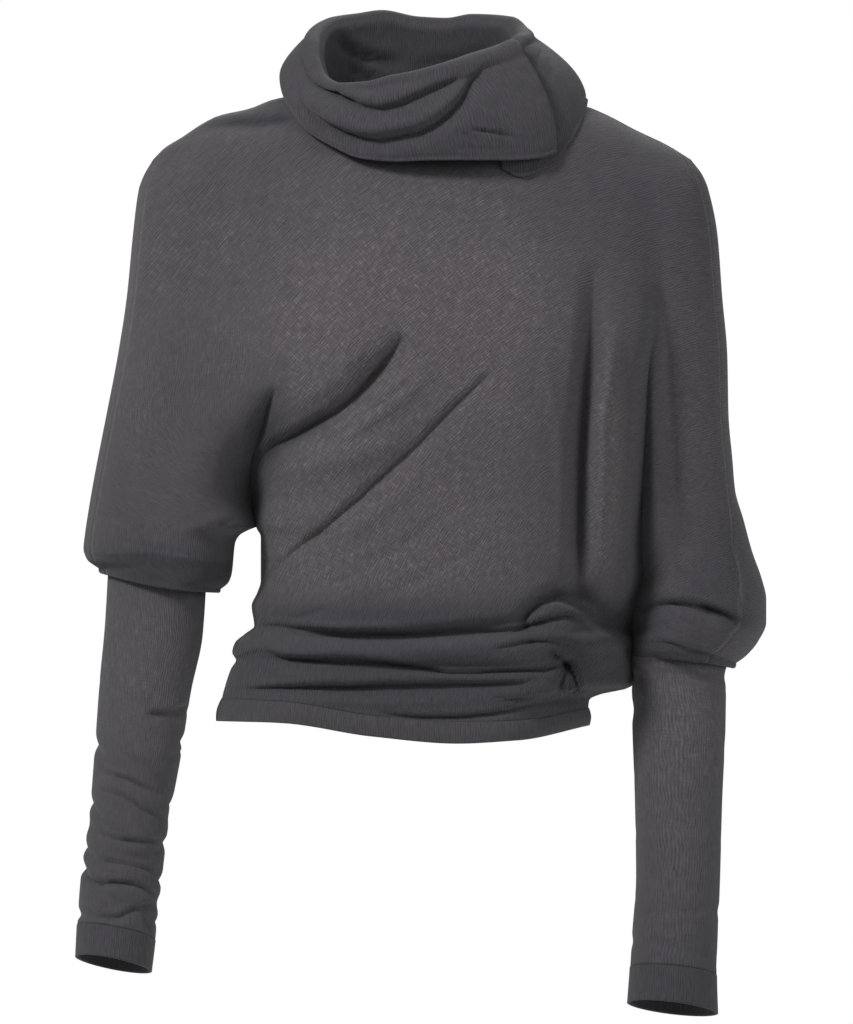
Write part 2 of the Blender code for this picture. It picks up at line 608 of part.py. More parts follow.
def sleeve_ring(table, drop, arm, gathers, angle):
    """Points of a lower sleeve's ring whose middle is at this drop."""
    low, high, y, deep, tilt_x, tilt_y = (column(table, k, drop) for k in range(1, 7))
    across = -np.cos(angle) if arm == "right arm" else np.cos(angle)
    degrees = np.degrees(angle)
    swell = np.zeros(len(angle))
    for at, tilt, middle, span, depth, width in gathers:
        apart = (degrees - middle + 180) % 360 - 180
        height = at + tilt * 40 * np.sin(np.radians(apart))
        near = np.clip(np.abs(drop - height) / width, 0, 1)
        reach = np.clip(1 - (np.abs(apart) / span) ** 2, 0, 1)
        swell -= depth * (0.5 + 0.5 * np.cos(np.pi * near)) * reach
    half = (high - low) / 2 + swell
    x = (low + high) / 2 + half * across
    dy = -(deep + swell) * np.sin(angle)
    z = -drop - tilt_x * (x - (low + high) / 2) - tilt_y * dy
    return in_space(x, y + dy, z)


def add_lower_sleeve(surface, arm, ring, table, cuff_drop, gathers, rows):
    """Turned-in end of the puff, lower sleeve and cuff."""
    right = arm == "right arm"
    strips = ARM_STRIPS_RIGHT if right else ARM_STRIPS_LEFT
    side = "right" if right else "left"
    start = np.array([surface.points[k] for k in ring])
    even = ring_angles(strips)
    uneven = puff_angles(start, table, arm)
    first = sleeve_ring(table, table[0][0], arm, [], uneven)
    turned = [list(ring)]
    for k in range(1, TURN_ROWS + 1):
        t = k / TURN_ROWS
        bend = math.pi / 2 * t
        sag = TURN_SAG * math.sin(math.pi * t)
        points = start + (first - start) * (1 - math.cos(bend))
        points[:, 2] -= sag * (1 - t)
        turned.append(list(surface.add(points)))
    closed = [row + row[:1] for row in turned]

    def turn_piece(k, j):
        front = BACK_OF_SEAM <= j < strips
        return "front_panel" if front else "back_panel"

    surface.weave(closed, turn_piece, not right)
    drops = np.linspace(table[0][0], cuff_drop, rows + 1)
    sleeve = [turned[-1]]
    for k, drop in enumerate(drops[1:], 1):
        fade = gathers if drop < cuff_drop - 2 else []
        angle = uneven + (even - uneven) * min(1, k / ANGLE_ROWS)
        sleeve.append(list(surface.add(sleeve_ring(table, drop, arm, fade, angle))))
    surface.weave([row + row[:1] for row in sleeve], f"lower_sleeve_{side}", not right)
    cuff = [sleeve[-1]]
    for drop in np.linspace(cuff_drop, table[-1][0], CUFF_ROWS + 1)[1:]:
        cuff.append(list(surface.add(sleeve_ring(table, drop, arm, [], even))))
    surface.weave([row + row[:1] for row in cuff], f"cuff_{side}", not right)


def add_hem(surface, front, back):
    """Closed hem band below the body's last row."""
    ring = front[-1] + back[-1][-2:0:-1]
    points = np.array([surface.points[k] for k in ring])
    rows = [list(ring)]
    for k in range(1, HEM_ROWS + 1):
        t = k / HEM_ROWS
        height = blend(points[:, 0], *zip(*HEM_HEIGHT))
        lower = points.copy()
        lower[:, 2] -= height * t
        away = lower[:, :2] - np.array([HEM_MIDDLE_X, 0])
        away /= np.linalg.norm(away, axis=1)[:, None]
        lower[:, :2] += away * (HEM_SWELL * math.sin(math.pi * t) + HEM_FLARE * t)
        rows.append(list(surface.add(lower)))
    surface.weave([row + row[:1] for row in rows], "hem_band", False)


def collar_profile(angle, lift):
    """One cut through the collar from the neckline over the rim to the low edge, as x, y, z
    seen. lift opens it outwards where it laps over its own start."""
    rim_z, rim_a, rim_b, low_z, low_a, low_b = (float(column(COLLAR, k, angle)) for k in range(1, 7))
    sin, cos = math.sin(math.radians(angle)), math.cos(math.radians(angle))
    points = []
    roll = 7.0 + lift
    rim_z = rim_z + lift * 0.7
    for k in range(1, COLLAR_STAND_ROWS + 1):
        t = k / COLLAR_STAND_ROWS
        points.append(("stand", t, rim_a - roll - 2, rim_b - roll - 2, rim_z - roll))
    for k in range(1, COLLAR_ROLL_ROWS + 1):
        bend = math.pi * k / (COLLAR_ROLL_ROWS + 1)
        wide = -math.cos(bend) * roll
        points.append(("roll", 0, rim_a + wide, rim_b + wide, rim_z - roll + roll * math.sin(bend)))
    for k in range(COLLAR_FALL_ROWS + 1):
        t = k / COLLAR_FALL_ROWS
        bulge = COLLAR_BULGE * math.sin(math.pi * min(1, t * 1.05)) ** 0.8
        a = rim_a + roll + (low_a - rim_a - roll) * t + bulge + lift * t
        b = rim_b + roll + (low_b - rim_b - roll) * t + bulge + lift * t
        points.append(("fall", t, a, b, rim_z - roll + (low_z - rim_z + roll) * t))
    placed = []
    for kind, t, a, b, z in points:
        down = t if kind == "fall" else 0
        centre = COLLAR_RIM_X + (COLLAR_LOW_X - COLLAR_RIM_X) * down
        placed.append([kind, t, centre + a * sin, COLLAR_Y - b * cos, z, sin, cos])
    return placed


def add_collar(surface, front, back):
    """The collar: shares the neckline with the panels and laps over its own start."""
    ring = front[0] + back[0][-2:0:-1]
    count = len(ring)
    order = [ring[(COLLAR_START + k) % count] for k in range(count)]
    middle = (NECK_LEFT_X + NECK_RIGHT_X) / 2
    half = (NECK_LEFT_X - NECK_RIGHT_X) / 2
    columns = []
    base = [surface.points[k] for k in order]
    angles = []
    for point in base:
        across, forward = (point[0] - middle) / half, -point[1] / NECK_MIDDLE_Y
        angles.append(math.degrees(math.atan2(across, forward)) % 360)
    for k in range(1, count):
        while angles[k] < angles[k - 1]:
            angles[k] += 360
    angles[0] = COLLAR[0][0]
    for k in range(COLLAR_LAP):
        angles.append(angles[0] + 360 + (COLLAR[-1][0] - 360 - angles[0]) * k / (COLLAR_LAP - 1))
    for k, angle in enumerate(angles):
        near = np.clip((angle - LAP_LIFT_ANGLE) / LAP_LIFT_SPAN, 0, 1)
        lift = LAP_LIFT * near * near * (3 - 2 * near)
        profile = collar_profile(angle, lift)
        if k < count:
            foot = np.array(base[k])
            numbers = [order[k]]
        else:
            inwards = np.array(base[k - count])
            foot = inwards + np.array([middle - inwards[0], -inwards[1], 0]) * LAP_FOOT_IN
            foot[2] += LAP_FOOT_UP
            numbers = [surface.add([foot])[0]]
        placed = []
        for kind, t, x, y, z, sin, cos in profile:
            if kind == "stand":
                top = in_space(np.array(x), np.array(y), np.array(z))
                outward = np.array([sin, -cos, 0]) * 3 * math.sin(math.pi * t)
                placed.append(foot + (top - foot) * t + outward)
                continue
            if kind == "fall":
                folds = COLLAR_FOLDS if y < 0 else COLLAR_BACK_FOLDS
                edge = min(1.0, (1 - t) * 4 + 0.35) * min(1.0, abs(y) / 35)
                under_lap = min(1.0, max(0.0, (angle - 60) / 20))
                over_lap = 1 - (1 - LAP_FOLD_SHARE) * min(1.0, max(0.0, (angle - 384) / 10))
                press = float(fold_depth(np.array(x), np.array(z), folds)) * edge
                press *= under_lap * over_lap
                x -= press * sin
                y += press * cos
                y, z = clear_of_panel(x, y, z)
            placed.append(in_space(np.array(x), np.array(y), np.array(z)))
        numbers += list(surface.add(placed))
        columns.append(numbers)
    surface.weave(columns, "collar", False)


def clear_of_panel(x, y, z):
    """y and z moved until the collar lies clear of the shoulder or panel under it."""
    back = y > 0
    part = "body"
    if x < float(column(RIGHT_FOLD, 1, -z)):
        part = "right arm"
    if x > float(column(LEFT_FOLD, 1, -z)):
        part = "left arm"
    heights = z + np.arange(0, SHOULDER_LIFT + 1)
    over = heights > top_line(np.full(heights.shape, float(x)), back) + COLLAR_CLEAR
    under = panel_depth(np.full(heights.shape, float(x)), heights, part, back) + COLLAR_CLEAR
    free = over | (under < abs(y))
    rise = int(np.argmax(free)) if free.any() else SHOULDER_LIFT + 1
    if rise <= 0.5 * (under[0] - abs(y)) or rise == 0:
        return y, float(heights[rise])
    return (float(under[0]) if back else -float(under[0])), z


def face_normals(points, faces):
    corners = points[faces]
    cross = np.cross(corners[:, 2] - corners[:, 0], corners[:, 3] - corners[:, 1])
    return cross / np.maximum(np.linalg.norm(cross, axis=1), 1e-9)[:, None]


def seam_shift(points, normals, own, others):
    """Move of each point that takes a piece back from its seams, squarely to each seam."""
    def sides(faces):
        found = {}
        for face in faces.tolist():
            for a, b in zip(face, face[1:] + face[:1]):
                found.setdefault((min(a, b), max(a, b)), []).append(face)
        return found

    own_sides, other_sides = sides(own), sides(others)
    inward = {}
    for (a, b), faces in own_sides.items():
        if len(faces) > 1 or (a, b) not in other_sides:
            continue
        direction = np.cross(normals[a] + normals[b], points[b] - points[a])
        direction /= max(np.linalg.norm(direction), 1e-9)
        if np.dot(direction, points[faces[0]].mean(axis=0) - points[a]) < 0:
            direction = -direction
        inward.setdefault(a, []).append(direction)
        inward.setdefault(b, []).append(direction)
    shift = np.zeros_like(points)
    for k, directions in inward.items():
        total = np.sum(directions, axis=0)
        if len(directions) == 2:
            total = total / max(1 + np.dot(directions[0], directions[1]), 0.5)
        shift[k] = total
    return shift


def thick_piece(surface, name, thickness):
    """Points and faces of one piece as a closed wall, drawn back from its seams."""
    points = np.array(surface.points)
    faces = np.array(surface.faces)
    pieces = np.array(surface.pieces)
    normals = face_normals(points, faces)
    point_normal = np.zeros_like(points)
    for corner in range(4):
        np.add.at(point_normal, faces[:, corner], normals)
    point_normal /= np.maximum(np.linalg.norm(point_normal, axis=1), 1e-9)[:, None]
    own = faces[pieces == name]
    used = np.unique(own)
    gap = NECK_SEAM_GAP if name == "collar" else SEAM_GAP / 2
    place = points + gap * seam_shift(points, point_normal, own, faces[pieces != name])
    for k in surface.partings:
        # Where body and sleeve part, each panel keeps to its own side of the middle plane
        forward = 1 if name == "back_panel" else -1
        place[k] = points[k] + [0, forward * PARTING_CLEAR, 0]
        point_normal[k] = [0, forward * PARTING_NORMAL_Y, PARTING_NORMAL_Z]
    number = {k: n for n, k in enumerate(used)}
    outer = place[used] + point_normal[used] * thickness / 2
    inner = place[used] - point_normal[used] * thickness / 2
    total = len(used)
    solid = []
    edges = {}
    for face in own:
        near = [number[k] for k in face]
        corners = place[face]
        one_way = np.linalg.norm(corners[2] - corners[0])
        other_way = np.linalg.norm(corners[3] - corners[1])
        turn = 0 if one_way <= other_way else 1
        a, b, c, d = near[turn:] + near[:turn]
        for triangle in ([a, b, c], [a, c, d]):
            solid.append(triangle)
            solid.append([n + total for n in triangle[::-1]])
        for a, b in zip(near, near[1:] + near[:1]):
            edges[(a, b)] = True
    for a, b in edges:
        if (b, a) not in edges:
            solid.append([b, a, a + total])
            solid.append([b, a + total, b + total])
    return np.concatenate([outer, inner]) * MM, solid


def make_object(name, points, faces, colour, roughness):
    mesh = bpy.data.meshes.new(name)
    mesh.from_pydata([tuple(p) for p in points], [], [tuple(map(int, f)) for f in faces])
    work = bmesh.new()
    work.from_mesh(mesh)
    bmesh.ops.recalc_face_normals(work, faces=work.faces)
    work.to_mesh(mesh)
    work.free()
    mesh.update()
    piece = bpy.data.objects.new(name, mesh)
    bpy.context.scene.collection.objects.link(piece)
    material = bpy.data.materials.new(name + "_cloth")
    material.use_nodes = True
    shader = material.node_tree.nodes["Principled BSDF"]
    shader.inputs["Base Color"].default_value = (*colour, 1)
    shader.inputs["Roughness"].default_value = roughness
    shader.inputs["Metallic"].default_value = 0.0
    mesh.materials.append(material)
    return piece


CHARCOAL = (0.085, 0.08, 0.088)
DARK_CHARCOAL = (0.065, 0.061, 0.068)
PIECES = [
    ("front_panel", CLOTH, CHARCOAL), ("back_panel", CLOTH, CHARCOAL),
    ("collar", CLOTH, DARK_CHARCOAL), ("lower_sleeve_right", CLOTH, CHARCOAL),
    ("lower_sleeve_left", CLOTH, CHARCOAL), ("cuff_right", DOUBLE_CLOTH, DARK_CHARCOAL),
    ("cuff_left", DOUBLE_CLOTH, DARK_CHARCOAL), ("hem_band", DOUBLE_CLOTH, DARK_CHARCOAL),
]


def build():
    for item in list(bpy.data.objects):
        bpy.data.objects.remove(item)
    surface = Surface()
    front, back, ends = add_body(surface)
    add_lower_sleeve(surface, "right arm", ends["right arm"], RIGHT_LOWER, RIGHT_CUFF_DROP,
                     RIGHT_GATHERS, RIGHT_LOWER_ROWS)
    add_lower_sleeve(surface, "left arm", ends["left arm"], LEFT_LOWER, LEFT_CUFF_DROP,
                     LEFT_GATHERS, LEFT_LOWER_ROWS)
    add_hem(surface, front, back)
    add_collar(surface, front, back)
    for name, thickness, colour in PIECES:
        points, faces = thick_piece(surface, name, thickness)
        make_object(name, points, faces, colour, 0.85)


build()
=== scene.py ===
# %% [markdown]
# # A ribbed jersey top, as it is worn
# This lesson dresses the plain solids of a long-sleeve top in fine cloth. The top has wide
# batwing upper sleeves, tight lower sleeves, a wrapped collar and a bunched waist over a
# narrow hem band. Lengths in the tables are millimetres. X is the viewer's right, Y points
# away from the viewer, Z is up, and 0 is the middle of the neck base at shoulder height.
# "drop" is the distance below that height.

# %% The fixed frame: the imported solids
import json
import math

import bmesh
import bpy
import numpy as np
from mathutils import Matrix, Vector

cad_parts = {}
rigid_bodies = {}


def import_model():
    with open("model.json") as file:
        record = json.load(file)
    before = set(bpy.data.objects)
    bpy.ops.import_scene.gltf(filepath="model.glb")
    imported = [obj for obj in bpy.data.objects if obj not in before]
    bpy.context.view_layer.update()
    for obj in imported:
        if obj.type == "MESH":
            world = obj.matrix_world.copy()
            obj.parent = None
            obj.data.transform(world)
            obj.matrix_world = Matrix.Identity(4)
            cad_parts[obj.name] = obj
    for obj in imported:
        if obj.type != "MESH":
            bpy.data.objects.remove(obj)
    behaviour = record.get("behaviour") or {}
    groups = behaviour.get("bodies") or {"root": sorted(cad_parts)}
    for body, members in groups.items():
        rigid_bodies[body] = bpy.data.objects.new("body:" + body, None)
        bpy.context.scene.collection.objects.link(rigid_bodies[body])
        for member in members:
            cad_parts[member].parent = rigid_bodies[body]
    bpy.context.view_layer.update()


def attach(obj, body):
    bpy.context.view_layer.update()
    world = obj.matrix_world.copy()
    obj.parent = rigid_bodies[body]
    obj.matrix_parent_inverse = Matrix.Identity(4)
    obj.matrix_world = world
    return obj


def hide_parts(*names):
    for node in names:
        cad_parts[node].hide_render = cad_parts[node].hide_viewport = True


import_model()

MM = 0.001

# %% [markdown]
# ## Camera, light and floor
# The top was pictured square from the front, from about three metres, at the height of the
# bust. A long lens three metres away gives the same mild perspective. The main light is soft
# and comes from the upper left in front. A wider and weaker one comes from the right, a third
# one from behind and above, and a little light from all round, so that folds are read from
# gentle shade and not from hard shadows.

# %% Camera at the height of the bust, three metres away
EYE_DISTANCE = 3000.0
EYE_X = -4.0
EYE_Z = -303.0
VIEW_HEIGHT = 788.5

bpy.context.scene.view_settings.view_transform = "Standard"
lens = bpy.data.cameras.new("photo_lens")
lens.sensor_fit = "VERTICAL"
lens.sensor_height = 36.0
lens.lens = 36.0 * EYE_DISTANCE / VIEW_HEIGHT
camera = bpy.data.objects.new("photo_camera", lens)
camera.location = (EYE_X * MM, -EYE_DISTANCE * MM, EYE_Z * MM)
camera.rotation_euler = (math.radians(90), 0, 0)
bpy.context.scene.collection.objects.link(camera)
bpy.context.scene.camera = camera
print("lens", round(lens.lens, 1), "mm")


# %% Soft studio light
# name, place and diameter in metres, power in watts
LIGHTS = [
    ("key_light", (-1.9, -2.0, 1.7), 0.9, 72),
    ("fill_light", (2.2, -2.2, 0.5), 1.6, 24),
    ("rim_light", (0.4, 2.2, 1.6), 1.4, 26),
]
LIGHT_AIM = (0, 0, -0.3)
SURROUND_STRENGTH = 0.3


def soft_light(name, place, aim, size, power):
    """A round area light that points at the aim."""
    lamp = bpy.data.lights.new(name, "AREA")
    lamp.shape = "DISK"
    lamp.size = size
    lamp.energy = power
    holder = bpy.data.objects.new(name, lamp)
    holder.location = place
    holder.rotation_euler = (Vector(aim) - Vector(place)).to_track_quat("-Z", "Y").to_euler()
    bpy.context.scene.collection.objects.link(holder)


for name, place, size, power in LIGHTS:
    soft_light(name, place, LIGHT_AIM, size, power)

# The backdrop is seen as white, and gives the cloth only a weak light from all round
world = bpy.data.worlds.new("pale_studio")
world.use_nodes = True
tree = world.node_tree
surround = tree.nodes["Background"]
surround.inputs["Color"].default_value = (1, 1, 1, 1)
surround.inputs["Strength"].default_value = SURROUND_STRENGTH
backdrop = tree.nodes.new("ShaderNodeBackground")
backdrop.inputs["Color"].default_value = (1, 1, 1, 1)
backdrop.inputs["Strength"].default_value = 1.0
seen = tree.nodes.new("ShaderNodeLightPath")
choice = tree.nodes.new("ShaderNodeMixShader")
tree.links.new(seen.outputs["Is Camera Ray"], choice.inputs["Fac"])
tree.links.new(surround.outputs[0], choice.inputs[1])
tree.links.new(backdrop.outputs[0], choice.inputs[2])
tree.links.new(choice.outputs[0], tree.nodes["World Output"].inputs["Surface"])
bpy.context.scene.world = world

# %% Plain pale floor
# In metres
FLOOR_DROP = 1.5
FLOOR_HALF = 1.2
sheet = bmesh.new()
bmesh.ops.create_grid(sheet, x_segments=1, y_segments=1, size=FLOOR_HALF)
bmesh.ops.translate(sheet, verts=sheet.verts, vec=(0, 0, -FLOOR_DROP))
floor_mesh = bpy.data.meshes.new("pale_floor")
sheet.to_mesh(floor_mesh)
sheet.free()
floor = bpy.data.objects.new("pale_floor", floor_mesh)
bpy.context.scene.collection.objects.link(floor)
floor_paint = bpy.data.materials.new("floor_paint")
floor_paint.use_nodes = True
floor_shader = floor_paint.node_tree.nodes["Principled BSDF"]
floor_shader.inputs["Base Color"].default_value = (1, 1, 1, 1)
floor_shader.inputs["Roughness"].default_value = 0.9
floor_mesh.materials.append(floor_paint)
print("floor", FLOOR_DROP, "m below the neck")

# %% [markdown]
# ## The form of the cloth
# A garment like this has no straight part, so its form is written as a field: how far the
# front and the back stand from a middle plane at each place of the front view. A few short
# tables hold the outline, the depth and the folds, and smooth curves run through them. The
# solids were made from nearly the same tables, so the fine cloth lies on them.


# %% Smooth curves through a table
def blend(x, stations, values):
    """Smooth curve through rising stations that never swings past them. The first axis runs
    over the stations."""
    x = np.asarray(x, float)
    stations = np.asarray(stations, float)
    values = np.asarray(values, float)
    if stations.ndim == 1:
        shape = (-1,) + (1,) * x.ndim
        stations = stations.reshape(shape) + 0 * x
        values = values.reshape(shape) + 0 * x
    step = np.diff(stations, axis=0)
    slope = np.diff(values, axis=0) / step
    before, after = slope[:-1], slope[1:]
    total = np.where(np.abs(before + after) < 1e-9, 1.0, before + after)
    inner = np.where(before * after > 0, 2 * before * after / total, 0.0)
    tangent = np.concatenate([slope[:1], inner, slope[-1:]])
    x = np.clip(x, stations[0], stations[-1])
    k = np.clip((stations <= x).sum(axis=0) - 1, 0, len(step) - 1)[None]

    def pick(array, index):
        return np.take_along_axis(array, index, axis=0)[0]

    span = pick(step, k)
    w = (x - pick(stations, k)) / span
    return ((1 + 2 * w) * (1 - w) ** 2 * pick(values, k)
            + w * (1 - w) ** 2 * span * pick(tangent, k)
            + w ** 2 * (3 - 2 * w) * pick(values, k + 1)
            + w ** 2 * (w - 1) * span * pick(tangent, k + 1))


def column(table, index, x):
    """One column of a table, read as a smooth curve at x."""
    return blend(x, [row[0] for row in table], [row[index] for row in table])


def quarter(distance, reach):
    """Quarter circle: 0 at an edge and 1 from its reach inwards."""
    w = np.clip(distance / reach, 0, 1)
    return np.sqrt(w * (2 - w))


def soft_step(value):
    """0 below 0, 1 above 1 and a soft curve between."""
    w = np.clip(value, 0, 1)
    return w * w * (3 - 2 * w)


print("half way up a soft step:", float(soft_step(0.5)))

# %% Outline and depth of the body and the upper sleeves
# Over-arm outline: drop, x
RIGHT_ARM_OUTLINE = [
    (32, -214), (44, -221), (55, -225), (90, -229.5), (136, -234), (182, -241), (229, -250),
    (275, -259), (298, -263), (321, -266.5), (331, -267.5), (339, -265), (346, -256),
]
LEFT_ARM_OUTLINE = [
    (32, 199), (44, 208), (55, 212.5), (90, 219.5), (136, 223), (182, 227), (229, 228),
    (263, 231), (286, 233), (309, 239.5), (333, 246), (356, 254), (370, 257), (388, 257),
    (402, 251), (413, 242), (419, 234),
]
# Shoulder seams from the corner to the neck: x, z
RIGHT_SHOULDER = [(-214, -32), (-205, -23), (-192, -15), (-177, -5), (-164, 1.5), (-140, 7),
                  (-122, 14), (-100, 18), (-82, 20)]
LEFT_SHOULDER = [(76, 18), (95, 14), (118, 9), (135, 2), (156, -9), (181, -21), (199, -32)]
NECK_LEFT_X = 76.0
NECK_RIGHT_X = -82.0
NECK_FRONT_Z = -25.0
NECK_BACK_Z = 18.0
NECK_FRONT_Y = 55.0
NECK_BACK_Y = 50.0
NECK_MIDDLE = (NECK_LEFT_X + NECK_RIGHT_X) / 2
NECK_HALF = (NECK_LEFT_X - NECK_RIGHT_X) / 2
# Fold between body and arm: drop, x, depth left, power (3 is a hollow, 1 a side seam)
RIGHT_FOLD = [
    (-20, -82, 1, 3), (32, -88, 1, 3), (100, -98, 1, 3), (160, -105, 1, 3), (204, -112, 0.98, 3),
    (225, -125, 0.84, 2.6), (246, -134, 0.64, 2.2), (274, -140, 0.36, 1.9), (292, -139, 0.16, 1.7),
    (302, -138, 0.07, 1.3), (314, -135, 0, 1), (322, -131, 0, 1), (356, -131, 0, 1), (366, -134, 0, 1),
    (375, -138, 0, 1), (391, -136, 0, 1), (397, -143, 0, 1), (404, -151, 0, 1), (411, -153, 0, 1),
    (417, -150, 0, 1), (424, -154, 0, 1), (439, -159, 0, 1), (447, -161, 0, 1), (470, -166, 0, 1),
]
LEFT_FOLD = [
    (-18, 76, 1, 3), (0, 84, 1, 3), (40, 106, 1, 3), (90, 130, 1, 3), (140, 152, 1, 3),
    (175, 165, 0.97, 3), (225, 164, 0.85, 2.6), (275, 162.5, 0.72, 2.2), (316, 161, 0.58, 1.9),
    (350, 163, 0.42, 1.9), (366, 159, 0.33, 1.8), (382, 155, 0.2, 1.7), (391, 154, 0.1, 1.6),
    (400, 155, 0, 1), (406, 155.5, 0, 1), (412, 156.5, 0, 1), (420, 157, 0, 1), (434, 156, 0, 1),
    (438, 151, 0, 1), (443, 129, 0, 1), (447, 121, 0, 1), (454, 120, 0, 1), (470, 121, 0, 1),
]
PARTING_DROP_RIGHT = 314.0
PARTING_DROP_LEFT = 400.2
PARTING_SLACK = 0.3
RIGHT_SLEEVE_INNER = [(314, -135), (317, -143), (321, -149), (327, -152), (350, -154.5), (357, -157),
                      (362, -163)]
RIGHT_SLEEVE_END = (346.0, 362.0)
LEFT_SLEEVE_END_OUTER = 419.0
PUFF_SAG = 4.0
TURN_SAG = 6.0
# drop, then the depth at the right arm, right fold, right chest, middle, left chest, left
# fold and left arm
FRONT_DEPTH = [
    (-36, 30, 40, 48, 52, 48, 40, 30), (0, 42, 55, 62, 64, 62, 55, 42),
    (40, 48, 66, 77, 80, 77, 66, 48), (80, 52, 76, 90, 94, 90, 74, 52),
    (130, 56, 84, 105, 107, 105, 82, 55), (190, 58, 90, 115, 116, 115, 92, 57),
    (240, 58, 86, 114, 116, 117, 98, 58), (302, 57, 80, 106, 112, 115, 98, 58),
    (350, 55, 80, 100, 108, 112, 94, 62), (392, 52, 82, 100, 106, 109, 90, 64),
    (430, 52, 84, 104, 108, 108, 86, 60), (470, 52, 84, 104, 108, 106, 84, 60),
]
BACK_DEPTH = [
    (-36, 30, 38, 45, 48, 45, 38, 30), (0, 42, 52, 60, 62, 60, 52, 42),
    (40, 48, 62, 76, 78, 76, 62, 48), (80, 52, 71, 88, 89, 88, 70, 52),
    (130, 55, 78, 95, 94, 95, 78, 55), (190, 57, 78, 93, 92, 94, 82, 57),
    (240, 57, 74, 87, 86, 89, 82, 58), (302, 56, 70, 80, 79, 83, 80, 58),
    (350, 55, 66, 76, 75, 80, 78, 62), (392, 52, 70, 80, 79, 83, 76, 64),
    (430, 52, 76, 90, 91, 90, 78, 60), (470, 52, 80, 97, 99, 96, 80, 60),
]
ARM_CREST_IN = 49.0
LEFT_CREST_FURTHER = 4
CHEST_X = (-62.0, -4.0, 55.0)
CHEST_FROM_FOLD = 12
ARM_ROUND = 50.0
SHOULDER_ROUND = 42.0
BODY_ROUND = 80.0
# By the left hip the edge is rounder and stands further back: drops, shares
HIP_ROUND = 52.0
HIP_ROUND_DROPS = ([396, 408, 438, 450], [0, 1, 1, 0])
HIP_BACK = 14.0
HIP_BACK_DROPS = ([401, 414, 436, 447], [0, 1, 1, 0])
HIP_BACK_X = 95
HIP_BACK_REACH = 50
print("outline rows:", len(RIGHT_ARM_OUTLINE), "and", len(LEFT_ARM_OUTLINE))

# %% [markdown]
# ## Folds
# A fold is a soft trough or ridge along a curve through three points. Its two sides have
# their own widths, so one side can be steep and the other can roll away. The large folds are
# nearly those of the solids. The small ones are only in the fine cloth: short tension lines
# between the large folds, and similar ones on the back.

# %% Large and small folds of the body
# x1, z1, x2, z2, x3, z3, width above, width below, depth
FOLDS = {"front": [
    (-131, -256, -70, -219, -20, -163, 20, 30, 15),
    (-86, -251, -40, -224, 0, -188, 14, 14, -4),
    (-138, -368, -60, -295, 34, -206, 12, 20, 4),
    (-112, -262, -70, -262, -20, -238, 18, 18, -5),
    (126, -110, 115, -250, 111, -380, 16, 15, 18),
    (140, -150, 134, -280, 134, -384, 16, 16, -12),
    (168, -150, 163, -290, 156, -388, 12, 14, 11),
    (150, -374, 188, -374, 238, -384, 10, 12, 7),
    (196, -330, 205, -350, 225, -366, 12, 12, -4),
    (-138, -392, -40, -398, 103, -382, 9, 18, 13),
    (-150, -413, -20, -421, 106, -420, 7, 15, 9),
    (-158, -439, -30, -438, 86, -435, 6, 12, 7),
    (-42, -457, 20, -461, 76, -452, 5, 7, 4),
    (-150, -405, -40, -408, 80, -402, 10, 10, -5),
    (66, -391, 108, -367, 150, -406, 13, 9, 13),
    (76, -398, 116, -396, 140, -424, 26, 26, -17),
    (104, -414, 101, -430, 95, -443, 9, 7, 9),
    (88, -446, 112, -447, 136, -444, 5, 7, 8),
    (-104, 1, -130, -7, -178, -9, 8, 14, 6),
    (-155, -20, -160, -70, -154, -140, 16, 16, 2.5),
], "back": [
    (126, -60, 110, -200, 60, -330, 18, 22, 9),
    (-110, -70, -104, -200, -70, -320, 18, 22, 8),
    (-30, -40, 0, -180, 10, -330, 26, 26, 4),
    (150, -374, 188, -376, 238, -386, 10, 12, 7),
    (-138, -390, 0, -396, 120, -388, 9, 18, 12),
    (-150, -416, 0, -420, 120, -414, 7, 16, 9),
    (-158, -438, 0, -440, 112, -436, 6, 12, 7),
    (-150, -404, 0, -408, 110, -402, 10, 10, -6),
    (118, -400, 134, -420, 140, -436, 16, 16, -12),
]}
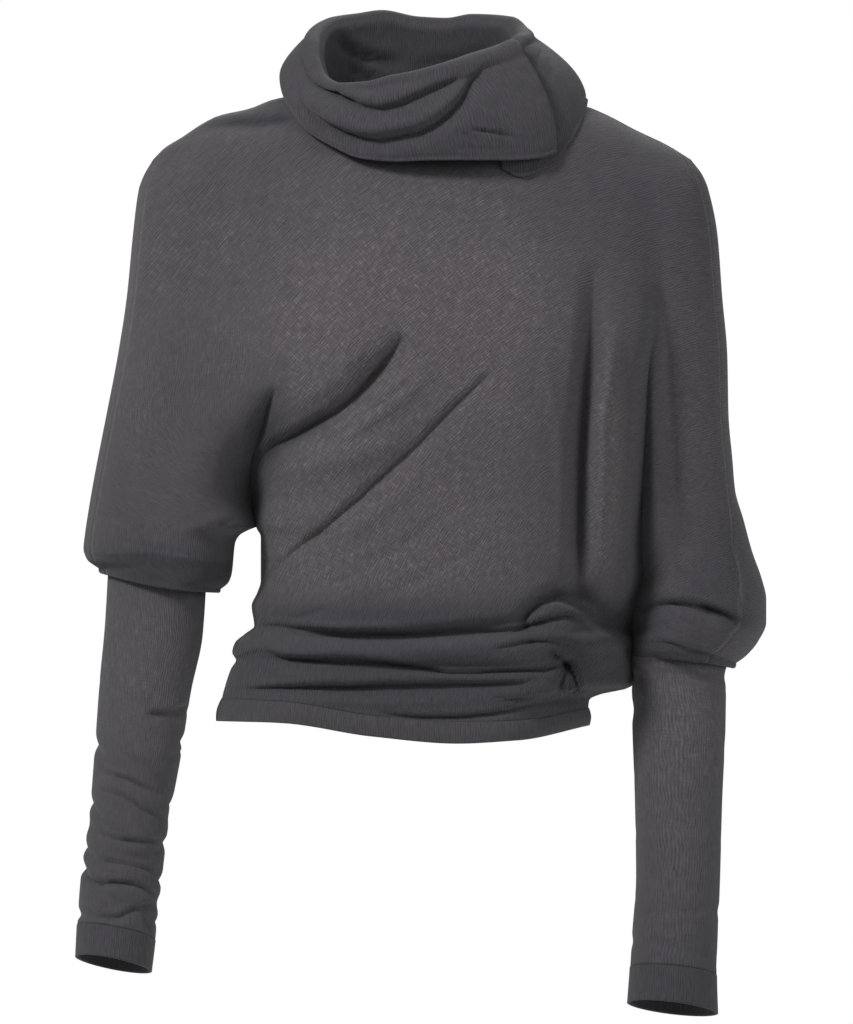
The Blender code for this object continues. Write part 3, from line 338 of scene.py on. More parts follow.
SMALL_FOLDS = {"front": [
    (-86, -256, -52, -232, -20, -196, 9, 9, -2.5),
    (-120, -345, -60, -316, 0, -268, 7, 9, -1.2),
    (-110, -372, -40, -340, 30, -290, 9, 9, 1.3),
    (-60, -372, 10, -346, 60, -306, 8, 8, 1.1),
    (40, -150, 84, -220, 96, -300, 14, 10, 1.6),
    (84, -180, 98, -260, 96, -350, 7, 7, -2.2),
    (128, -220, 132, -280, 128, -362, 7, 7, -2.4),
    (192, -190, 190, -290, 196, -362, 9, 9, 1.5),
    (217, -230, 219, -300, 223, -352, 3, 3, -0.9),
    (186, -330, 196, -352, 206, -370, 6, 6, 1.5),
    (214, -320, 224, -350, 232, -370, 6, 6, 1.4),
    (150, -345, 168, -362, 190, -366, 6, 6, -1.6),
    (-114, -388, -98, -383, -78, -377, 5, 6, 2.5),
    (-120, -428, -60, -430, 10, -432, 5, 5, -1.6),
    (0, -411, 50, -411, 94, -404, 4, 4, -1.6),
    (-110, -447, -40, -450, 30, -450, 4, 4, -1.4),
    (94, -404, 118, -392, 142, -414, 4, 4, -1.4),
    (126, -402, 133, -411, 130, -416, 5, 5, 2.2),
    (-210, -150, -190, -200, -186, -262, 12, 12, 1.2),
    (-236, -200, -232, -260, -236, -318, 9, 9, 1.2),
    (-198, -230, -190, -280, -184, -318, 7, 7, 1.4),
    (-144, -238, -143, -262, -140, -290, 5, 5, -3),
    (-150, -60, -110, -96, -60, -120, 18, 18, 1.4),
    (60, -60, 100, -96, 150, -116, 18, 18, 1.2),
    (30, -52, 70, -110, 110, -150, 16, 16, 1.2),
], "back": [
    (150, -80, 134, -190, 96, -300, 10, 10, 2),
    (-140, -80, -130, -190, -104, -300, 10, 10, 2),
    (-70, -60, -60, -190, -50, -320, 12, 12, 1.6),
    (60, -60, 60, -180, 40, -320, 12, 12, 1.6),
    (-180, -120, -176, -220, -172, -310, 9, 9, 1.8),
    (190, -140, 186, -240, 180, -350, 9, 9, 1.8),
    (150, -250, 146, -320, 140, -385, 8, 8, 2.6),
    (-120, -300, -60, -340, 20, -366, 8, 8, 1.6),
    (120, -310, 60, -344, -10, -366, 8, 8, 1.6),
    (-120, -430, -30, -432, 70, -431, 5, 5, -1.6),
]}
FOLD_SAMPLES = 15
FOLD_FADE = 0.34
FOLD_SHARP_SHARE = 0.55


def near_line(x, z, line, reach):
    """Which of the places lie near a line, their distances from it, the same with a sign
    (above 0 on its upper side), and how far along it they are, counted in its points."""
    low, high = line.min(axis=0) - reach, line.max(axis=0) + reach
    near = np.flatnonzero((x > low[0]) & (x < high[0]) & (z > low[1]) & (z < high[1]))
    nearest = np.full(near.shape, 1e9)
    signed, along = np.zeros(near.shape), np.zeros(near.shape)
    for k, (dx, dz) in enumerate(np.diff(line, axis=0)):
        ox, oz = x[near] - line[k, 0], z[near] - line[k, 1]
        u = np.clip((ox * dx + oz * dz) / (dx * dx + dz * dz), 0, 1)
        ox, oz = ox - u * dx, oz - u * dz
        distance = np.hypot(ox, oz)
        closer = distance < nearest
        nearest = np.where(closer, distance, nearest)
        signed = np.where(closer, np.sign(dx * oz - dz * ox) * distance, signed)
        along = np.where(closer, k + u, along)
    return near, nearest, signed, along


def fold_depth(x, z, folds):
    """How far all the folds together press the surface in at x, z."""
    x, z = np.broadcast_arrays(np.asarray(x, float), np.asarray(z, float))
    shape_of_all = x.shape
    x, z = x.ravel(), z.ravel()
    total = np.zeros(x.shape)
    for x1, z1, x2, z2, x3, z3, above, below, depth in folds:
        # The middle point lies on the curve, so its pull is taken from it
        t = np.linspace(0, 1, FOLD_SAMPLES)[:, None]
        start, middle, end = np.array([(x1, z1), (x2, z2), (x3, z3)], float)
        pull = 2 * middle - (start + end) / 2
        line = (1 - t) ** 2 * start + 2 * t * (1 - t) * pull + t * t * end
        near, nearest, signed, along = near_line(x, z, line, max(above, below))
        along = along / (FOLD_SAMPLES - 1)
        w = np.clip(nearest / np.where(signed > 0, above, below), 0, 1)
        shape = 0.5 + 0.5 * np.cos(np.pi * w)
        if depth > 0:
            shape = FOLD_SHARP_SHARE * (1 - w) ** 2 + (1 - FOLD_SHARP_SHARE) * shape
        ends = np.clip(np.minimum(along, 1 - along) / FOLD_FADE, 0, 1)
        total[near] += depth * shape * ends * (2 - ends)
    return total.reshape(shape_of_all)


print("folds of the front:", len(FOLDS["front"]), "large and", len(SMALL_FOLDS["front"]), "small")

# %% [markdown]
# A crease is crisper than a fold. The cloth above it rolls over and casts the line's shadow,
# and the cloth below comes out from under it at a slant. Each crease is drawn as a line with
# its own points. "Above" is the side on the left hand of somebody who walks along it.

# %% Creases of the body and the upper sleeves
# width above, width below, depth, roll above, points of the line (x, z)
CREASES = {"front": [
    (6, 14, 10, 2.0, (-137, -270), (-130, -260), (-119, -250), (-106, -244), (-90, -235),
     (-73, -226), (-60, -213), (-47, -198), (-34, -183), (-20, -166)),
    (5, 9, 4.6, 1.2, (-92, -253), (-75, -246), (-60, -235), (-45, -224), (-26, -209), (-8, -195)),
    (3.5, 9, 4.6, 1.2, (-150, -392), (-136, -368), (-128, -356), (-116, -342), (-101, -329),
     (-82, -314), (-63, -297), (-45, -280), (-26, -263), (-11, -250), (13, -224), (42, -198), (52, -190)),
    (7, 8, 9, 1.0, (-120, -206), (-124, -216), (-128, -230), (-133, -250)),
    (4, 7, 6, 1.0, (-149, -244), (-154, -261), (-154, -278), (-147, -291), (-138, -301)),
    (4, 6, 4, 1.0, (-185, -303), (-174, -322), (-160, -336)),
    (3, 4, 3.5, 0.8, (-176, -314), (-166, -313), (-151, -309)),
    (2.5, 3, 0.9, 0.2, (-256, -321), (-218, -329), (-182, -336), (-157, -341)),
    (7, 14, 3, 1.5, (134, -150), (125, -209), (120, -235), (116, -262), (114, -292), (112, -321),
     (112, -341), (113, -359), (118, -372)),
    (9, 14, 8, 0.5, (176, -130), (168, -184), (165, -213), (164, -243), (163, -272), (162, -302),
     (162, -331), (163, -351), (157, -363), (147, -378)),
    (3.5, 6, 7, 1.5, (150, -378), (166, -376), (178, -374), (193, -373), (209, -375), (225, -380),
     (240, -387)),
    (2.5, 4, 2.2, 0.6, (177, -378), (193, -386), (206, -392)),
    (3, 9, 6, 1.0, (203, -374), (214, -378), (226, -383), (240, -391)),
    (2.2, 5, 5, 1.5, (140, -401), (156, -401), (183, -403), (201, -408), (219, -413), (240, -418)),
    (6, 10, 8, 0.5, (166, -338), (165, -354), (159, -364), (149, -376), (136, -388), (126, -396)),
    (2.5, 7, 5, 1.5, (56, -400), (70, -392), (83, -387.5), (95, -384.5), (107, -383), (119, -386),
     (130, -392)),
    (3, 5, 3, 0.6, (234, -290), (232, -320), (233, -350), (239, -384)),
    (3.5, 9, 6, 2.0, (-160, -393), (-118, -391), (-92, -394), (-70, -396), (-44, -396),
     (-11, -398), (22, -396), (55, -395), (72, -392), (85, -387), (100, -384), (113, -383)),
    (3, 7, 7, 2.2, (-172, -422), (-153, -418), (-144, -413), (-133, -410), (-122, -411),
     (-114, -415), (-98, -416), (-76, -415), (-55, -416), (-33, -419), (-11, -423),
     (11, -427), (33, -427), (55, -426), (87, -425), (101, -420), (112, -412)),
    (3, 6, 6, 1.8, (-180, -439), (-135, -439), (-114, -438), (-87, -437), (-61, -437), (-35, -435),
     (-9, -435), (18, -435), (44, -435), (66, -434), (86, -431)),
    (2.5, 4, 4, 1.0, (-46, -456), (-31, -459), (-9, -461), (18, -461), (39, -459), (57, -456),
     (72, -452), (87, -450), (112, -447)),
    (2.5, 4, 4, 0.8, (46, -445), (66, -447), (94, -446)),
    (2.5, 4, 3, 0.8, (-110, -415), (-84, -419), (-50, -420)),
    (4, 11, 13, 4.2, (156, -430), (153, -416), (147, -404), (136, -394), (124, -387), (116, -380),
     (107, -374), (96, -370), (84, -373), (75, -381), (70, -393)),
    (3, 8, 5, 1.5, (44, -409), (57, -406), (72, -403), (87, -402), (98, -402), (109, -406),
     (119, -413)),
    (3, 8, 9, 2.0, (90, -408), (98, -415), (106, -420), (110, -429), (113, -440), (118, -446)),
    (3, 6, 4, 1.5, (-102, -1), (-124, -5), (-145, -4), (-180, -9)),
], "back": [
    (3.5, 9, 6, 2.0, (-140, -391), (-110, -394), (-60, -396), (-20, -399), (20, -397), (70, -392),
     (118, -389)),
    (3, 7, 6, 1.8, (-152, -417), (-120, -419), (-70, -423), (-20, -424), (40, -420), (90, -418),
     (122, -413)),
    (3, 6, 5, 1.5, (-158, -439), (-110, -441), (-60, -440), (0, -443), (60, -441), (108, -437)),
    (2.5, 4, 4, 1.0, (-80, -452), (-30, -456), (30, -455), (80, -449)),
    (3.5, 6, 7, 1.5, (150, -376), (178, -374), (209, -377), (238, -387)),
    (3.5, 9, 4, 1.0, (116, -356), (92, -330), (64, -310), (30, -296)),
    (3.5, 9, 4, 1.0, (-126, -340), (-100, -316), (-66, -300), (-30, -284)),
]}
CREASE_FADE = 45.0
# The roll above a crease: distance of its crest and its half width, in widths above
ROLL_AT = 1.4
ROLL_HALF = 0.6
ROLL_REACH = 2.6


def crease_depth(x, z, creases):
    """How far the creases press the surface in at x, z. It is below 0 on the roll above one."""
    x, z = np.broadcast_arrays(np.asarray(x, float), np.asarray(z, float))
    shape_of_all = x.shape
    x, z = x.ravel(), z.ravel()
    total = np.zeros(x.shape)
    for above, below, depth, roll, *points in creases:
        line = np.array(points, float)
        start = np.concatenate([[0], np.cumsum(np.hypot(*np.diff(line, axis=0).T))])
        near, _, signed, along = near_line(x, z, line, max(ROLL_REACH * above, below))
        along = np.interp(along, np.arange(len(start)), start)
        w = np.clip(np.where(signed > 0, signed / above, -signed / below), 0, 1)
        trough = (1 - w) ** 2 * (1 + 0.6 * w)
        over = np.exp(-((signed - ROLL_AT * above) / (ROLL_HALF * above)) ** 2)
        fade_length = min(CREASE_FADE, start[-1] / 3)
        fade = np.clip(np.minimum(along, start[-1] - along) / fade_length, 0, 1)
        total[near] += (depth * trough - roll * over) * fade * (2 - fade)
    return total.reshape(shape_of_all)


print("creases:", len(CREASES["front"]), "on the front and", len(CREASES["back"]), "on the back")


# %% Depth of the cloth at any place of the front view
def top_line(x, back):
    """Height of the shoulder seams and of the neckline between them."""
    right = blend(np.minimum(x, NECK_RIGHT_X), *zip(*RIGHT_SHOULDER))
    left = blend(np.maximum(x, NECK_LEFT_X), *zip(*LEFT_SHOULDER))
    across = np.clip((x - NECK_MIDDLE) / NECK_HALF, -1, 1)
    side = (RIGHT_SHOULDER[-1][1] * (1 - across) + LEFT_SHOULDER[0][1] * (1 + across)) / 2
    low = NECK_BACK_Z if back else NECK_FRONT_Z
    neck = side + (low - side) * (1 - across ** 2)
    return np.where(x <= NECK_RIGHT_X, right, np.where(x >= NECK_LEFT_X, left, neck))


def neck_depth(x, back):
    """Depth of the neckline, which is half an oval at the front and half one at the back."""
    across = np.clip((x - NECK_MIDDLE) / NECK_HALF, -1, 1)
    return (NECK_BACK_Y if back else NECK_FRONT_Y) * np.sqrt(np.clip(1 - across ** 2, 0, 1))


def panel_depth(x, z, part, back, layers=2):
    """How far the front or back stands from the middle plane at x, z of one part: the right
    arm, the body or the left arm. layers is 0 without folds, 1 with the large folds only and
    2 with all folds and creases."""
    drop = -z
    table = BACK_DEPTH if back else FRONT_DEPTH
    outer_right = column(RIGHT_ARM_OUTLINE, 1, drop)
    outer_left = column(LEFT_ARM_OUTLINE, 1, drop)
    fold_right = column(RIGHT_FOLD, 1, drop)
    fold_left = column(LEFT_FOLD, 1, drop)
    stations = np.stack([
        outer_right + ARM_CREST_IN, np.minimum(fold_right, CHEST_X[0] - CHEST_FROM_FOLD),
        CHEST_X[0] + 0 * x, CHEST_X[1] + 0 * x, CHEST_X[2] + 0 * x,
        np.maximum(fold_left, CHEST_X[2] + CHEST_FROM_FOLD),
        outer_left - ARM_CREST_IN + LEFT_CREST_FURTHER])
    values = np.stack([column(table, k, drop) for k in range(1, 8)])
    face = "back" if back else "front"
    folds = [[], FOLDS[face], FOLDS[face] + SMALL_FOLDS[face]][layers]
    plateau = blend(x, stations, values) - fold_depth(x, z, folds)
    if layers == 2:
        plateau = plateau - crease_depth(x, z, CREASES[face])
    share = np.ones(np.shape(x))
    if part != "left arm":
        inner = fold_right
        if part == "right arm":
            below = column(RIGHT_SLEEVE_INNER, 1, drop)
            inner = np.where(drop > PARTING_DROP_RIGHT, below, fold_right)
        left_over = column(RIGHT_FOLD, 2, drop)
        reach = ARM_ROUND if part == "right arm" else BODY_ROUND
        edge = quarter(np.abs(x - inner), reach) ** column(RIGHT_FOLD, 3, drop)
        share = share * (left_over + (1 - left_over) * edge)
    if part != "right arm":
        left_over = column(LEFT_FOLD, 2, drop)
        hip = blend(drop, *HIP_ROUND_DROPS)
        reach = ARM_ROUND if part == "left arm" else BODY_ROUND + (HIP_ROUND - BODY_ROUND) * hip
        edge = quarter(np.abs(x - fold_left), reach) ** column(LEFT_FOLD, 3, drop)
        share = share * (left_over + (1 - left_over) * edge)
    side = np.ones(np.shape(x))
    if part == "right arm":
        side = quarter(x - outer_right, ARM_ROUND)
    if part == "left arm":
        side = quarter(outer_left - x, ARM_ROUND)
    top = quarter(top_line(x, back) - z, SHOULDER_ROUND)
    # Where an arm's side meets its top, the two roundings run into one another
    both = (np.maximum(side, 1e-4) ** -4 + np.maximum(top, 1e-4) ** -4 - 1) ** -0.25
    both = np.where(np.minimum(side, top) < 2e-4, 0.0, both)
    return neck_depth(x, back) * (1 - top) + plateau * share * both


def in_space(x, y, z):
    """Point of the cloth from its place as seen and its depth."""
    nearer = 1 + y / EYE_DISTANCE
    return np.stack([EYE_X + (x - EYE_X) * nearer, y + 0 * x, EYE_Z + (z - EYE_Z) * nearer], -1)


chest_depth = float(panel_depth(np.array(0.0), np.array(-150.0), "body", False))
print("depth of the chest:", round(chest_depth, 1), "mm")

# %% [markdown]
# ## Rows of the body and the upper sleeves
# The weave of points follows the cut: rows run across and columns run down. Each strip of
# the solid is divided again, so that the fine cloth has a point about every two millimetres
# and its lines still pass through every corner of the solid's wall.

# %% Heights of the rows
UPPER_DROPS = [0, 2, 7, 15, 27, 43, 62, 84, 108, 134, 160, 184, 206, 226, 246, 264, 280, 292, 302]
MIDDLE_DROPS = [314, 328, 342, 356, 369]
WAIST_DROP = 380.0
WAIST_ROWS = 11
SHOULDER_FADE = 150.0
EDGE_ROUNDS = 6
ARM_EVEN_DROP = 226
ROW_STEP = 2.5
WAIST_FINE = 4
FRONT_STRIPS = 24
BACK_STRIPS = 14
FRONT_FINE = 6
BACK_FINE = 8
ARM_STRIPS_RIGHT = 8
ARM_STRIPS_LEFT = 9
BACK_OF_SEAM = 2
ARM_FINE = 5
PUFF_ROWS = 6
PUFF_FINE = 4
ARM_SEAM_IN = 5.5
ARM_SEAM_EXTRA = 15.0
ARM_SEAM_EXTRA_DROP = 290.0
ARM_SEAM_EXTRA_LENGTH = 80.0
HEM_SEAM = [(-161, -447), (-112, -449.5), (-46, -460), (20, -465), (65, -464), (119, -454)]


def divided(stations, step):
    """The stations with even steps between them, none longer than step."""
    found = [stations[0]]
    for a, b in zip(stations, stations[1:]):
        count = math.ceil((b - a) / step)
        found += [a + (b - a) * k / count for k in range(1, count + 1)]
    return found


# Each row: its drop, and how far down it is from the waist to the hem seam
row_heights = [(drop, 0.0)
               for drop in divided(UPPER_DROPS + MIDDLE_DROPS + [WAIST_DROP], ROW_STEP)]
waist_steps = WAIST_ROWS * WAIST_FINE
row_heights += [(WAIST_DROP, k / waist_steps) for k in range(1, waist_steps + 1)]
print("rows:", len(row_heights))


# %% Places of the rows as seen
def hem_seam_z(x):
    """Height of the seam between the bunched waist and the hem band."""
    return blend(x, *zip(*HEM_SEAM))


def arm_share(strips, wanted_seam):
    """Shares across an arm, close together at its edges, so that the seam's strip ends at the
    wanted share."""
    share = (1 - np.cos(np.pi * np.arange(strips * ARM_FINE + 1) / (strips * ARM_FINE))) / 2
    if wanted_seam is None:
        return share
    return share ** (math.log(wanted_seam) / math.log(share[BACK_OF_SEAM * ARM_FINE]))


def body_rows(strips, back):
    """x and z of the middle part, row by row, from neckline to hem seam."""
    even = np.arange(strips + 1) / strips
    round_share = (1 - np.cos(np.pi * even)) / 2
    rows = []
    for drop, down in row_heights:
        fade = max(0.0, 1 - drop / SHOULDER_FADE) ** 2 if down == 0 else 0.0
        mix = 0.5 + 0.5 * fade
        share = round_share * mix + even * (1 - mix)
        z = -drop + np.zeros(strips + 1)
        for _ in range(EDGE_ROUNDS):
            low, high = column(RIGHT_FOLD, 1, -z[0]), column(LEFT_FOLD, 1, -z[-1])
            x = low + (high - low) * share
            z = -drop + top_line(x, back) * fade
            if down > 0:
                z = -drop + down * (hem_seam_z(x) + drop)
        rows.append((x, z))
    return rows


def seam_inset(drop, right):
    """How far in from the outline of the arm the over-arm seam runs."""
    if right:
        return ARM_SEAM_IN
    further = np.clip((drop - ARM_SEAM_EXTRA_DROP) / ARM_SEAM_EXTRA_LENGTH, 0, 1)
    return ARM_SEAM_IN + ARM_SEAM_EXTRA * further


def arm_rows(body, arm, back):
    """x and z of one upper sleeve, row by row from the shoulder seam, outer edge first."""
    right = arm == "right arm"
    outline = RIGHT_ARM_OUTLINE if right else LEFT_ARM_OUTLINE
    strips = ARM_STRIPS_RIGHT if right else ARM_STRIPS_LEFT
    parting = PARTING_DROP_RIGHT if right else PARTING_DROP_LEFT
    inner = [(x[0], z[0]) if right else (x[-1], z[-1]) for x, z in body]
    inner = [point for point in inner if -point[1] <= parting + PARTING_SLACK]
    corner = -outline[0][0]
    last = -inner[-1][1]
    shared_end = PARTING_DROP_RIGHT if right else LEFT_SLEEVE_END_OUTER
    rows = []
    for (inner_x, inner_z), (drop, down) in zip(inner, row_heights):
        drop = drop if down == 0 else -inner_z
        fade = max(0.0, 1 - drop / SHOULDER_FADE) ** 2
        stretch = (shared_end - ARM_EVEN_DROP) / (last - ARM_EVEN_DROP)
        below = max(0.0, drop - ARM_EVEN_DROP)
        outer_drop = drop + below * (stretch - 1)
        outer_z = -outer_drop + corner * fade
        outer_x = float(column(outline, 1, -outer_z))
        seam_in = seam_inset(outer_drop, right)
        share = arm_share(strips, None if back else seam_in / abs(inner_x - outer_x))
        x = outer_x + (inner_x - outer_x) * share
        on_top = np.clip(x, RIGHT_SHOULDER[0][0], LEFT_SHOULDER[-1][0])
        line = -drop + top_line(on_top, back) * fade
        z = np.where(fade > 0, line, outer_z + (inner_z - outer_z) * share)
        z[0], z[-1] = outer_z, inner_z
        rows.append((x, z))
    if right:
        for k in range(1, PUFF_ROWS * PUFF_FINE + 1):
            t = k / (PUFF_ROWS * PUFF_FINE)
            outer_z = -(PARTING_DROP_RIGHT + (RIGHT_SLEEVE_END[0] - PARTING_DROP_RIGHT) * t)
            inner_z = -(PARTING_DROP_RIGHT + (RIGHT_SLEEVE_END[1] - PARTING_DROP_RIGHT) * t)
            outer_x = float(column(outline, 1, -outer_z))
            inner_x = float(column(RIGHT_SLEEVE_INNER, 1, -inner_z))
            share = arm_share(strips, None if back else ARM_SEAM_IN / abs(inner_x - outer_x))
            sag = PUFF_SAG * np.sin(np.pi * share) * t
            rows.append((outer_x + (inner_x - outer_x) * share,
                         outer_z + (inner_z - outer_z) * share - sag))
    return rows


def panel_points(rows, part, back, layers=2):
    """Points of the rows of one part, in space."""
    x = np.array([row[0] for row in rows])
    z = np.array([row[1] for row in rows])
    y = (1 if back else -1) * panel_depth(x, z, part, back, layers)
    if part == "body":
        aside = soft_step((x - HIP_BACK_X) / HIP_BACK_REACH)
        y = y + HIP_BACK * aside * blend(-z, *HIP_BACK_DROPS)
    return in_space(x, y, z)


front_rows = body_rows(FRONT_STRIPS * FRONT_FINE, False)
back_rows = body_rows(BACK_STRIPS * BACK_FINE, True)
front_body = panel_points(front_rows, "body", False)
back_body = panel_points(back_rows, "body", True)
print("points of the body:", front_body.shape, back_body.shape)

# %% Upper sleeves, sharing their edges with the body
arms = {}
for arm, strips in (("right arm", ARM_STRIPS_RIGHT), ("left arm", ARM_STRIPS_LEFT)):
    inner_column = 0 if arm == "right arm" else -1
    front_arm_rows, back_arm_rows = arm_rows(front_rows, arm, False), arm_rows(back_rows, arm, True)
    front_arm = panel_points(front_arm_rows, arm, False)
    back_arm = panel_points(back_arm_rows, arm, True)
    parting_drop = PARTING_DROP_RIGHT if arm == "right arm" else PARTING_DROP_LEFT
    parting = sum(1 for x, z in front_rows if -z[inner_column] <= parting_drop + PARTING_SLACK)
    front_arm[:parting, -1] = front_body[:parting, inner_column]
    back_arm[:parting, -1] = back_body[:parting, inner_column]
    back_arm[parting:, -1] = front_arm[parting:, -1]
    back_arm[:, 0] = front_arm[:, 0]
    back_arm[0] = front_arm[0]
    back_body[parting - 1:, inner_column] = front_body[parting - 1:, inner_column]
    back_body[0, inner_column] = front_body[0, inner_column]
    arms[arm] = {"front": front_arm, "back": back_arm, "parting": parting, "strips": strips,
                 "seam": BACK_OF_SEAM * ARM_FINE,
                 "smooth front": panel_points(front_arm_rows, arm, False, 0),
                 "smooth back": panel_points(back_arm_rows, arm, True, 0)}
    print(arm, "rows", len(front_arm), "parting at row", parting)

# %% [markdown]
# ## Lower sleeves, cuffs and hem band
# The puffs turn in and end on fitted tubes. A tube is a stack of rings, one for each height,
# with its gathers pressed into the ring's radius. The two lower sleeves are unlike: the right
# one has slipped down and bunches in slanting creases, the left one is nearly smooth.

# %% Tables of the lower sleeves
# drop, left x, right x, y of the middle, half depth, tilt across, tilt in depth
RIGHT_LOWER = [
    (351, -248.5, -174, -8, 36, 0.12, 0), (394, -251, -177, -14, 35.5, 0.12, 0.02),
    (437, -255, -186, -22, 34, 0.13, 0.05), (488, -258.7, -194, -34, 33, 0.14, 0.08),
    (537, -262.6, -203, -45, 31, 0.16, 0.11), (589, -269.5, -209.4, -57, 30, 0.19, 0.13),
    (622, -272, -213, -64, 29.5, 0.2, 0.15), (651, -273.5, -216.5, -70, 29.5, 0.2, 0.15),
]
LEFT_LOWER = [
    (417, 154.5, 226.5, -12, 36, 0.12, 0), (466, 155, 225.6, -24, 35, 0.1, 0.03),
    (525, 157, 223, -38, 34, 0.08, 0.08), (585, 158, 221.4, -52, 33, 0.06, 0.12),
    (630, 155, 219.5, -61, 32, 0.08, 0.14), (657, 153.5, 218.7, -66, 32, 0.1, 0.15),
    (685, 151.5, 219.5, -72, 32, 0.12, 0.15),
]
# drop, tilt, middle angle, span of angle, depth, half width. Angle 0 is the outer side, 90
# the front, 180 the inner side.
RIGHT_GATHERS = [
    (468, 0.35, 150, 110, 2.6, 9), (493, 0.5, 20, 120, 3.2, 10), (517, 0.45, 160, 120, 2.8, 9),
    (541, 0.5, 30, 110, 3.0, 8), (556, -0.4, 170, 110, 2.6, 8), (569, 0.5, 10, 120, 3.2, 8),
    (583, 0.3, 190, 120, 3.0, 8), (593, 0.45, 40, 110, 3.0, 7), (606, 0.35, 150, 110, 2.6, 7),
    (618, 0.3, 0, 130, 2.6, 7), (540, 0.2, 270, 120, 2.6, 10), (590, -0.2, 260, 140, 2.6, 9),
]
LEFT_GATHERS = [
    (430, 0.1, 90, 150, 2.2, 9), (612, 0.1, 60, 120, 1.2, 8), (640, -0.1, 120, 130, 1.2, 8),
    (470, 0.3, 250, 120, 2.0, 12),
]
RIGHT_SMALL_GATHERS = [
    (476, 0.3, 110, 60, 0.9, 4), (485, -0.3, 170, 60, 1.0, 4), (446, 0.2, 60, 70, 0.7, 6),
    (456, -0.2, 150, 60, 0.8, 5), (520, 0.2, 250, 70, 1.0, 5), (560, -0.2, 290, 70, 1.0, 5),
    (610, 0.2, 240, 70, 1.0, 5), (640, 0.1, 90, 90, 0.5, 4),
]
LEFT_SMALL_GATHERS = [
    (424, 0.1, 60, 60, 1.2, 3.5), (427, -0.1, 130, 50, 1.2, 3.5), (440, 0.2, 40, 60, 0.5, 6),
    (505, 0.1, 110, 90, 0.35, 8), (548, -0.1, 70, 90, 0.35, 8), (600, 0.1, 120, 80, 0.5, 5),
    (624, 0.15, 70, 80, 0.6, 5), (646, -0.1, 60, 80, 0.6, 4), (560, 0.2, 250, 90, 0.8, 8),
]
# Creases of the slipped sleeve: above, below, depth, roll above, points of the line (x, z)
RIGHT_CREASES = [
    (3, 8, 3.4, 1.0, (-222, -459), (-202, -457), (-184, -451)),
    (2.6, 8, 4.2, 1.4, (-262, -498), (-250, -504), (-235, -508), (-223, -514), (-208, -521)),
    (2.8, 8, 3.8, 1.2, (-254, -516), (-238, -521), (-223, -531), (-202, -541)),
    (2.8, 7, 3.8, 1.4, (-264, -542), (-255, -550), (-243, -555), (-226, -556), (-203, -555)),
    (2.6, 7, 3.8, 1.4, (-267, -563), (-252, -571), (-235, -574), (-218, -578), (-205, -585)),
    (2.4, 8, 5.6, 1.8, (-270, -583), (-257, -588), (-245, -587), (-231, -588), (-220, -592), (-206, -598)),
    (2.8, 8, 3.4, 1.2, (-270, -603), (-257, -614), (-243, -615), (-226, -607), (-208, -604)),
    (2.6, 6, 2.6, 1.0, (-264, -622), (-247, -625), (-231, -624)),
    (2.6, 5, 3.0, 0.8, (-221, -608), (-219, -618), (-217, -627)),
]
LEFT_CREASES = [
    (2, 5, 2.0, 0.5, (153, -418), (170, -416), (190, -416), (212, -420), (228, -427)),
    (3, 6, 0.6, 0.2, (158, -612), (180, -613), (206, -611)),
    (3, 5, 0.7, 0.2, (160, -630), (186, -634), (212, -631)),
]
BACK_SHIFT = 17.0
GATHER_TILT = 40
QUIET_END = 6
RIGHT_CUFF_DROP = 627.0
LEFT_CUFF_DROP = 657.0
TURN_ROWS = 12
ANGLE_ROWS = 24
SLEEVE_STEP = 2.0
CUFF_ROWS = 18


def sleeve_ring(table, drop, arm, gathers, angle, creases=()):
    """Points of a lower sleeve's ring whose middle is at this drop. The creases of the front
    are turned round for the back and moved down, so that the back has similar ones."""
    low, high, y, deep, tilt_x, tilt_y = (column(table, k, drop) for k in range(1, 7))
    across = -np.cos(angle) if arm == "right arm" else np.cos(angle)
    degrees = np.degrees(angle)
    swell = np.zeros(len(angle))
    for at, tilt, middle_angle, span, depth, width in gathers:
        apart = (degrees - middle_angle + 180) % 360 - 180
        height = at + tilt * GATHER_TILT * np.sin(np.radians(apart))
        near = np.clip(np.abs(drop - height) / width, 0, 1)
        reach = np.clip(1 - (np.abs(apart) / span) ** 2, 0, 1)
        swell -= depth * (0.5 + 0.5 * np.cos(np.pi * near)) * reach
    if creases:
        in_front = np.sin(angle) > 0
        centre, half = (low + high) / 2, (high - low) / 2
        seen_x = centre + half * np.where(in_front, across, -across)
        seen_z = -drop - tilt_x * half * across + tilt_y * deep * np.sin(angle)
        seen_z = seen_z + np.where(in_front, 0, BACK_SHIFT)
        # They fade out towards the two sides, where front and back meet
        away_from_sides = np.minimum(1, 3 * np.abs(np.sin(angle)))
        swell -= crease_depth(seen_x, seen_z, creases) * away_from_sides
    half = (high - low) / 2 + swell
    x = (low + high) / 2 + half * across
    dy = -(deep + swell) * np.sin(angle)
    z = -drop - tilt_x * (x - (low + high) / 2) - tilt_y * dy
    return in_space(x, y + dy, z)


print("gathers:", len(RIGHT_GATHERS + RIGHT_SMALL_GATHERS), "and", len(LEFT_GATHERS + LEFT_SMALL_GATHERS))


# %% Rings from the end of a puff to the wrist
def closed(rings):
    """Rings whose last point is their first one again."""
    rings = np.array(rings)
    return np.concatenate([rings, rings[:, :1]], axis=1)


def puff_angles(ring, table, arm):
    """Angles of the puff's end as seen from the middle of the lower sleeve's first ring."""
    low, high, y, deep = (float(column(table, k, table[0][0])) for k in range(1, 5))
    across = (ring[:, 0] - (low + high) / 2) / (high - low) * 2
    outwards = -across if arm == "right arm" else across
    return np.unwrap(np.arctan2(-(ring[:, 1] - y) / deep, outwards))


